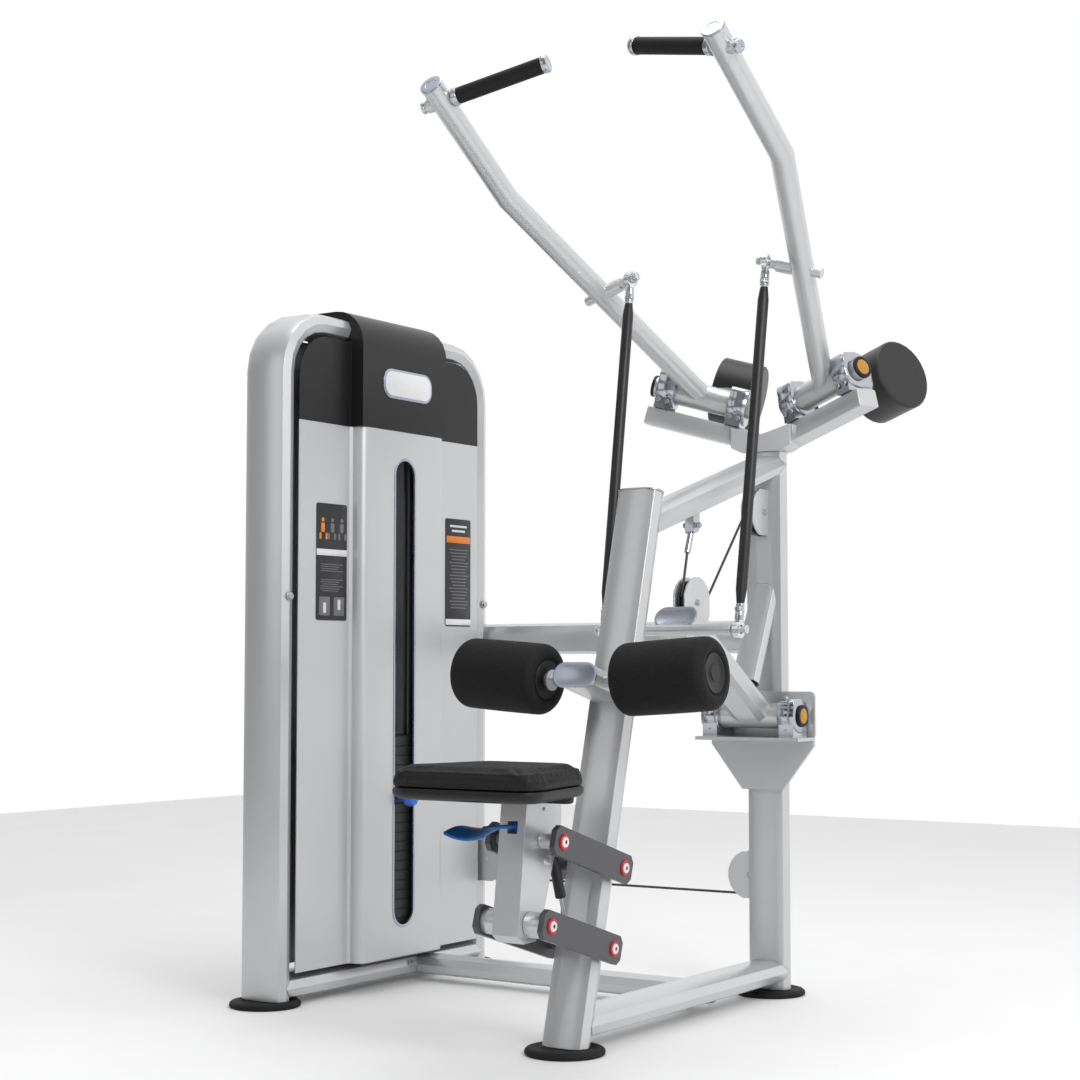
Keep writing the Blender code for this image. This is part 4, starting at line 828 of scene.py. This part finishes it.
def makeCushion():
    low, high = seat["bottom"], seat["top"]
    levels = [(low, 0.012), (low + 0.0006, 0.006), (low + 0.006, 0.0045), (high - 0.011, 0.004),
              (high - 0.0055, 0.005), (high - 0.0025, 0.0085), (high - 0.0018, 0.024)]
    points, faces = stacked([(h, seatOutline(inset)) for h, inset in levels], facing((0, 0, 0)))
    piece = newPiece("seatCushion", points, faces, 4)
    modifier = piece.modifiers.new("remesh", "REMESH")
    modifier.mode = "VOXEL"
    modifier.voxel_size = seat["voxel"]
    settle(piece)
    simulateSwell(piece)
    sewCushion(piece)
    piece.data.materials.append(leather.material)
    smooth = piece.modifiers.new("smooth", "SUBSURF")
    smooth.levels = 1
    settle(piece)
    piece.data.shade_smooth()
    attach(piece, "seat")
    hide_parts("seat_pad")


# Crowns the top, and draws the sides in along the seam under the top panel
def sewCushion(piece):
    low, high = seat["bottom"], seat["top"]
    seam = high - seat["seamDrop"]
    middle = np.array((0, (seat["backY"] + seat["frontY"]) / 2))
    mesh = piece.data
    points = pointsOf(mesh)
    outline = np.array(seatOutline(0.004))
    ends = np.roll(outline, -1, axis=0)
    edge = ends - outline
    reach = np.full(len(points), 1.0)
    for a, along in zip(outline, edge):
        t = np.clip(((points[:, :2] - a) @ along) / (along @ along), 0, 1)
        reach = np.minimum(reach, np.linalg.norm(points[:, :2] - a - t[:, None] * along, axis=1))
    height = (points[:, 2] - low) / (high - low)
    groove = np.exp(-((points[:, 2] - seam) / 0.0024) ** 2) * (reach < 0.012) * seat["groove"]
    points[:, :2] += unit(middle - points[:, :2]) * groove[:, None]
    crown = np.clip(reach / 0.09, 0, 1)
    crown = crown * crown * (3 - 2 * crown) * seat["crown"]
    piping = np.exp(-((reach - 0.016) / 0.0035) ** 2) * seat["piping"]
    points[:, 2] += (crown - piping) * (height > 0.75)
    points[:, 2] = np.clip(points[:, 2], low, high + 0.006)
    mesh.vertices.foreach_set("co", points.reshape(-1))
    mesh.update()


makeCushion()
print("cushion made")


# Seat base: a thin moulded tray with a rounded lip, deeper at the front

def makeBase():
    low, high = seat["baseLow"], seat["bottom"] - 0.0006
    levels = [(low, 0.024), (low + 0.0022, 0.0135), (low + 0.006, 0.0068), (low + 0.011, 0.004),
              (high - 0.004, 0.0035), (high - 0.0022, 0.0048), (high, 0.0055), (high, 0.012)]
    tray = [stacked([(h, seatOutline(inset)) for h, inset in levels], facing((0, 0, 0)))]
    lobe = facing((0, -0.1185, 0.5045))
    rows = [(0, 0.005), (0.0016, 0.0015), (0.005, 0), (0.016, 0)]
    tray.append(stacked([(h, roundedBox(0.095, 0.0165, 0.014, inset)) for h, inset in rows], lobe))
    build("seatTray", tray, basePlastic, "seat", ("seat_base",), 40)


makeBase()


# Height lever under the seat: a scooped blue paddle on a bent stem

paddle = {"near": -0.258, "far": -0.314, "left": -0.068, "right": 0.028, "z": 0.463, "curl": 0.019,
          "thick": 0.0085, "pivot": Vector((0, -0.1705, 0.462))}


# A closed sheet: top(u, v) is its upper side and thick(u, v) its thickness, from 0 to 1 each way
def shell(rows, columns, top, thick):
    points, faces = [], []
    for side in (0, 1):
        for i in range(rows + 1):
            for j in range(columns + 1):
                point = top(i / rows, j / columns)
                points.append(point - zAxis * (thick(i / rows, j / columns) * side))
    wide = columns + 1
    under = (rows + 1) * wide
    for i in range(rows):
        for j in range(columns):
            a = i * wide + j
            faces.append([a, a + 1, a + wide + 1, a + wide])
            faces.append([under + a + wide, under + a + wide + 1, under + a + 1, under + a])
    border = list(range(wide)) + [i * wide + columns for i in range(1, rows + 1)]
    border += [rows * wide + j for j in range(columns - 1, -1, -1)] + [i * wide for i in range(rows - 1, 0, -1)]
    for a, b in zip(border, border[1:] + border[:1]):
        faces.append([a, b, under + b, under + a])
    return points, faces


def makePaddle():
    def top(u, v):
        y = paddle["near"] + (paddle["far"] - paddle["near"]) * u
        taper = 0.01 * (1 - u) ** 2
        x = paddle["left"] + taper + (paddle["right"] - paddle["left"] - 2 * taper) * v
        cupped = 0.007 * (2 * v - 1) ** 2
        lip = 0.005 * max(0, 2 * u - 1.2) ** 2
        return Vector((x, y, paddle["z"] - paddle["curl"] * u * u + cupped * (0.4 + u) + lip))

    def thick(u, v):
        edge = min(u, 1 - u, v * 1.4, (1 - v) * 1.4)
        return paddle["thick"] * (0.55 + 0.45 * min(1, edge / 0.12))

    pivot = paddle["pivot"]
    end = Vector((-0.012, paddle["near"] - 0.006, paddle["z"] - 0.001))
    way = end - pivot
    stem = lathe([(0.006, 0.0042), (way.length - 0.004, 0.0046), (way.length, 0.003), (way.length, 0)],
                 pivot, way, 20)
    hub = lathe([(-0.0058, 0.0037), (-0.0058, 0.0072), (-0.005, 0.008), (0.005, 0.008), (0.0058, 0.0072),
                 (0.0058, 0.0037)], pivot, xAxis, 28, ring=True)
    build("heightPaddle", [shell(14, 22, top, thick), stem, hub], blueHandle, "seat_lever",
          ("seat_lever",), 50)


makePaddle()


# Silver sleeves on the links' rear tubes, between the support and the link plates

sleeves = {"lower": 0.0237, "upper": 0.0135, "from": 0.0305, "to": 0.0698}


def makeSleeve(name, front, radius, body):
    low, high, soft = sleeves["from"], sleeves["to"], radius + 0.0008
    profile = [(low, radius - 0.001), (low, soft), (low + 0.002, radius + 0.0016),
               (high - 0.002, radius + 0.0016), (high, soft), (high, radius - 0.001)]
    parts = [lathe(profile, front + links["reach"], xAxis * way, 44, ring=True) for way in (-1, 1)]
    build(name, parts, silver, body)


makeSleeve("lowerSleeve", links["lowerFront"], sleeves["lower"], "seat_links_lower")
makeSleeve("upperSleeve", links["upperFront"], sleeves["upper"], "seat_links_upper")


# A blank pressed panel and a screw on each side of the support

support = {"halfWide": 0.0302, "panelY": -0.108, "panelZ": 0.392, "screwY": -0.118, "screwZ": 0.492}


def makeSupportPlates():
    s, parts = support, []
    for way in (-1, 1):
        x, out = s["halfWide"] * way, xAxis * way
        where = facing((x, s["panelY"], s["panelZ"]), yAxis, zAxis, out)
        parts.append(plate(0.013, 0.0095, 0.006, 0.001, where, 0.0007))
        parts += hexBolt((x, s["screwY"], s["screwZ"]), out, 0.0032)
    build("supportTrim", parts, silver, "seat")


makeSupportPlates()
print("seat done")


# Yoke: two box wings that meet in a welded gusset on the upright

yokeShape = {"drop": 0.052, "tall": 0.044, "deep": 0.031, "bend": 0.004, "reach": 0.124, "postTop": 1.2803,
             "postY": 0.88, "gussetHalf": 0.06}


def makeYoke():
    pivot, axis = arm["pivot"], arm["axis"]
    up = (zAxis - axis * zAxis.dot(axis)).normalized()
    deep = axis.cross(up)
    half, tall, bend = yokeShape["deep"], yokeShape["tall"], yokeShape["bend"]
    top = pivot - up * yokeShape["drop"]
    inner = top - axis * (top.x / axis.x)
    length = (top + axis * yokeShape["reach"] - inner).length
    section = []
    for k, (u, v) in enumerate(((-half, 0), (half, 0), (half, -tall), (-half, -tall))):
        du, dv = 1 if u < 0 else -1, 1 if v < 0 else -1
        soft = [(u + du * bend, v), (u + du * bend * 0.3, v + dv * bend * 0.3), (u, v + dv * bend)]
        section += soft if k % 2 else soft[::-1]
    levels = []
    for at, grow in ((0, 0), (0.002, 0), (length - 0.0015, 0), (length, 0.0015)):
        levels.append((at, [(u * (1 - grow / half), v + (grow if v < -tall / 2 else -grow))
                            for u, v in section]))
    wing = [stacked(levels, facing(inner, deep, up, axis))]
    reach, low, high = yokeShape["gussetHalf"], yokeShape["postTop"], inner.z + 0.001
    brim = reach + 0.02
    shoulder = high + brim * (axis.z / axis.x) - 0.004
    outline = [(-reach * 0.85, low), (reach * 0.85, low), (brim, low + 0.014), (brim, shoulder),
               (0, high - 0.002), (-brim, shoulder), (-brim, low + 0.014)]
    rows = [(h, [(x * shrink, z) for x, z in outline])
            for h, shrink in ((-0.033, 0.985), (-0.031, 1), (0.031, 1), (0.033, 0.985))]
    gusset = stacked(rows, facing((0, yokeShape["postY"], 0), xAxis, zAxis, yAxis))
    build("yokeWings", wing + mirrorX(wing) + [gusset], silver, "frame", ("yoke",), 30)


makeYoke()


# Clamps: lobed chrome jaws round the arm and lever shafts, with their bolts

clamps = {"armShift": 0.09, "armRadius": 0.043, "armHalf": 0.0225,
          "leverShift": 0.1, "leverRadius": 0.038, "leverHalf": 0.0215}


def clampJaw(centre, axis, up, radius, half):
    depth, face, steps = axis.cross(up), half + 0.0006, 72
    turns = [2 * pi * k / steps for k in range(steps)]
    outer = [radius + 0.0012 + 0.01 * max(0, cos(2 * (turn - pi / 4))) ** 6 for turn in turns]
    bore = [radius - 0.016] * steps
    rows = ((-face, outer, 0.0016), (0.001 - half, outer, 0), (half - 0.001, outer, 0), (face, outer, 0.0016),
            (face, bore, 0), (-face, bore, 0))
    levels = [(at, [((r - shrink) * cos(turn), (r - shrink) * sin(turn)) for r, turn in zip(radii, turns)])
              for at, radii, shrink in rows]
    return stacked(levels, facing(centre, depth, up, axis), ring=True)


def makeClamps():
    pivot, axis, c = arm["pivot"], arm["axis"], clamps
    up = (zAxis - axis * zAxis.dot(axis)).normalized()
    depth = axis.cross(up)
    jaws, bolts = [], []
    for along in (-c["armShift"], c["armShift"]):
        centre = pivot + axis * along
        jaws.append(clampJaw(centre, axis, up, c["armRadius"], c["armHalf"]))
        for way in (-1, 1):
            for shift in (-0.011, 0.011):
                at = centre + axis * shift + depth * (0.0412 * way) - up * 0.032
                bolts += hexBolt(at, depth * way, 0.0048)
    for side, flip in sides:
        build("clampJaws" + side, flip(jaws), chrome, "frame", (), 50)
        build("clampBolts" + side, flip(bolts), turnedSteel, "frame")
    jaws, bolts = [], []
    for way in (-1, 1):
        centre = tube["leverPivot"] + xAxis * c["leverShift"] * way
        jaws.append(clampJaw(centre, xAxis, zAxis, c["leverRadius"], c["leverHalf"]))
        for front in (-0.03, 0.03):
            bolts += hexBolt(centre + yAxis * front + zAxis * -0.0335, zAxis, 0.005)
    build("clampJawsLever", jaws, chrome, "frame", (), 50)
    build("clampBoltsLever", bolts, turnedSteel, "frame")


makeClamps()


# Back plate behind the lever's bearings

backPlate = {"y": 0.8536, "z": 0.655, "halfWide": 0.137, "halfHigh": 0.056, "corner": 0.012,
             "thick": 0.0042, "boltX": 0.062, "boltZ": 0.694}


def makeBackPlate():
    b, front = backPlate, yAxis * -1
    where = facing((0, b["y"], b["z"]), xAxis, zAxis, front)
    parts = [plate(b["halfWide"], b["halfHigh"], b["corner"], b["thick"], where, 0.0012)]
    for across in (-b["boltX"], b["boltX"]):
        parts += hexBolt((across, b["y"] - b["thick"], b["boltZ"]), front, 0.0055)
    build("bearingBackPlate", parts, silver, "frame")


makeBackPlate()


# Bolts where the tower, the tubes and the pulley guards are fixed

fixings = {"towerX": -0.8085, "guardX": 0.0157, "clevisX": 0.0171, "guardBolt": 0.0062,
           "tower": ((0.845, 0.93, 0.0085), (0.086, 0.93, 0.0085), (0.545, 0.045, 0.007),
                     (0.655, 0.045, 0.007))}


def makeFixings():
    guard, size = fixings["guardX"], fixings["guardBolt"]
    still, swinging = [], []
    for y, z, towerSize in fixings["tower"]:
        still += hexBolt((fixings["towerX"], y, z), xAxis, towerSize)
    for way in (-1, 1):
        still += hexBolt((guard * way, 0.835, 1.134), xAxis * way, size)
        still += hexBolt((-0.045, 0.88 + guard * way, 0.276), yAxis * way, size)
        still += hexBolt((fixings["clevisX"] * way, 0.52, 1.085), xAxis * way, 0.006)
        swinging += hexBolt((guard * way, 0.515, 0.911), xAxis * way, size)
    build("frameBolts", still, turnedSteel, "frame")
    build("leverPulleyBolts", swinging, turnedSteel, "lever")


makeFixings()


# Cable stretches by the lever and the lifted plates, each a straight tube from start to end

cables = {"radius": 0.003, "rings": 40, "sides": 12,
          "Front": {"start": (0, 0.49693, 1.02171), "end": (0, 0.47141, 0.92218), "moves": "lever"},
          "Back": {"start": (0, 0.80078, 1.16324), "end": (0, 0.54855, 0.88101), "moves": "lever"},
          "Stack": {"start": (-0.835, 0.4655, 1.379), "end": (-0.835, 0.4655, 0.6609), "moves": "stack"}}


def makeCable(name):
    c = cables[name]
    start, end = Vector(c["start"]), Vector(c["end"])
    length, rings = (end - start).length, cables["rings"]
    profile = [(0, 0)] + [(length * k / rings, cables["radius"]) for k in range(rings + 1)] + [(length, 0)]
    strand = lathe(profile, start, end - start, cables["sides"])
    piece = build("cable" + name, [strand], cableCoat, None, ("cable_" + name.lower(),))
    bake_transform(piece)


for name in ("Front", "Back", "Stack"):
    makeCable(name)
print("cables made")


# Push rods: a chrome neck, a lock nut and a collar at each end

rods = {"top": Vector((0.176, 0.547, 1.6655)), "bottom": Vector((0.17, 0.419, 0.8488)),
        "nut": [(0.0395, 0.0085), (0.0395, 0.0105), (0.0402, 0.0112), (0.0478, 0.0112), (0.0485, 0.0105),
                (0.0485, 0.0058)],
        "neck": [(0.0205, 0.0086), (0.0205, 0.0092), (0.024, 0.0098), (0.036, 0.0098), (0.0385, 0.0092),
                 (0.0385, 0.0086)],
        "collar": [(0.05, 0.006), (0.05, 0.009), (0.0508, 0.0098), (0.054, 0.0098), (0.0548, 0.009),
                   (0.0548, 0.006)]}


def makeRodNuts():
    axis, parts = (rods["top"] - rods["bottom"]).normalized(), []
    for end, out in ((rods["bottom"], axis), (rods["top"], -axis)):
        for name, steps in (("nut", 6), ("neck", 28), ("collar", 28)):
            parts.append(lathe(rods[name], end, out, steps, ring=True))
    for side, flip in sides:
        build("rodNuts" + side, flip(parts), chrome, "rod_" + side.lower())


makeRodNuts()
print("yoke, clamps and fixings done")


# Floor, light and camera

stage = {"floor": 6.0, "floorColour": (0.86, 0.86, 0.86), "sky": 1.0, "brightSide": (0.3, 0.9, 0.3),
         "dimSide": 0.26}
lights = {"keyLight": ((3.4, -1.4, 3.0), (-0.3, 0.4, 0.9), 1.8, 74),
          "fillLight": ((-1.6, -3.6, 2.4), (-0.2, 0.4, 0.9), 2.6, 14),
          "topLight": ((-0.2, 0.6, 4.2), (-0.2, 0.5, 0.5), 2.5, 35)}
view = {"place": (2.211, -3.354, 0.77), "tilt": radians(93.63), "turn": radians(34.1), "lens": 66.33}


def makeStage():
    floor = show("floor", bpy.data.meshes.new("floor"))
    side, colour = stage["floor"], stage["floorColour"]
    corners = [(-side, -side, 0), (side, -side, 0), (side, side, 0), (-side, side, 0)]
    floor.data.from_pydata(corners, [], [(0, 1, 2, 3)])
    paint = Finish("floorPaint")
    paint.put(baseColor=paint.ramp(paint.noise(3, 4), colour, 1, 1.02))
    paint.put(roughness=0.6 + paint.noise(30) * 0.1)
    floor.data.materials.append(paint.material)
    world = bpy.data.worlds.new("studio")
    bpy.context.scene.world = world
    sky = Finish("sky", world)
    toward = sky.add("ShaderNodeTexCoord", {}, {}, "Generated").dot(stage["brightSide"])
    glow = sky.ramp(toward * 0.5 + 0.5, (1, 1, 1), stage["dimSide"], 1, 0.2, 0.6)
    background = world.node_tree.nodes["Background"]
    sky.feed(background.inputs["Color"], glow)
    background.inputs["Strength"].default_value = stage["sky"]


def softLight(name, place, aim, size, watts):
    light = bpy.data.lights.new(name, "AREA")
    light.size = size
    light.energy = watts
    lamp = show(name, light)
    lamp.location = place
    lamp.rotation_euler = (Vector(aim) - Vector(place)).to_track_quat("-Z", "Y").to_euler()


def makeCamera():
    camera = show("camera", bpy.data.cameras.new("camera"))
    camera.location = view["place"]
    camera.rotation_euler = (view["tilt"], 0, view["turn"])
    camera.data.lens = view["lens"]
    bpy.context.scene.camera = camera


makeStage()
for name, setting in lights.items():
    softLight(name, *setting)
makeCamera()
bpy.context.scene.view_settings.view_transform = "Standard"
print("stage, lights and camera ready")
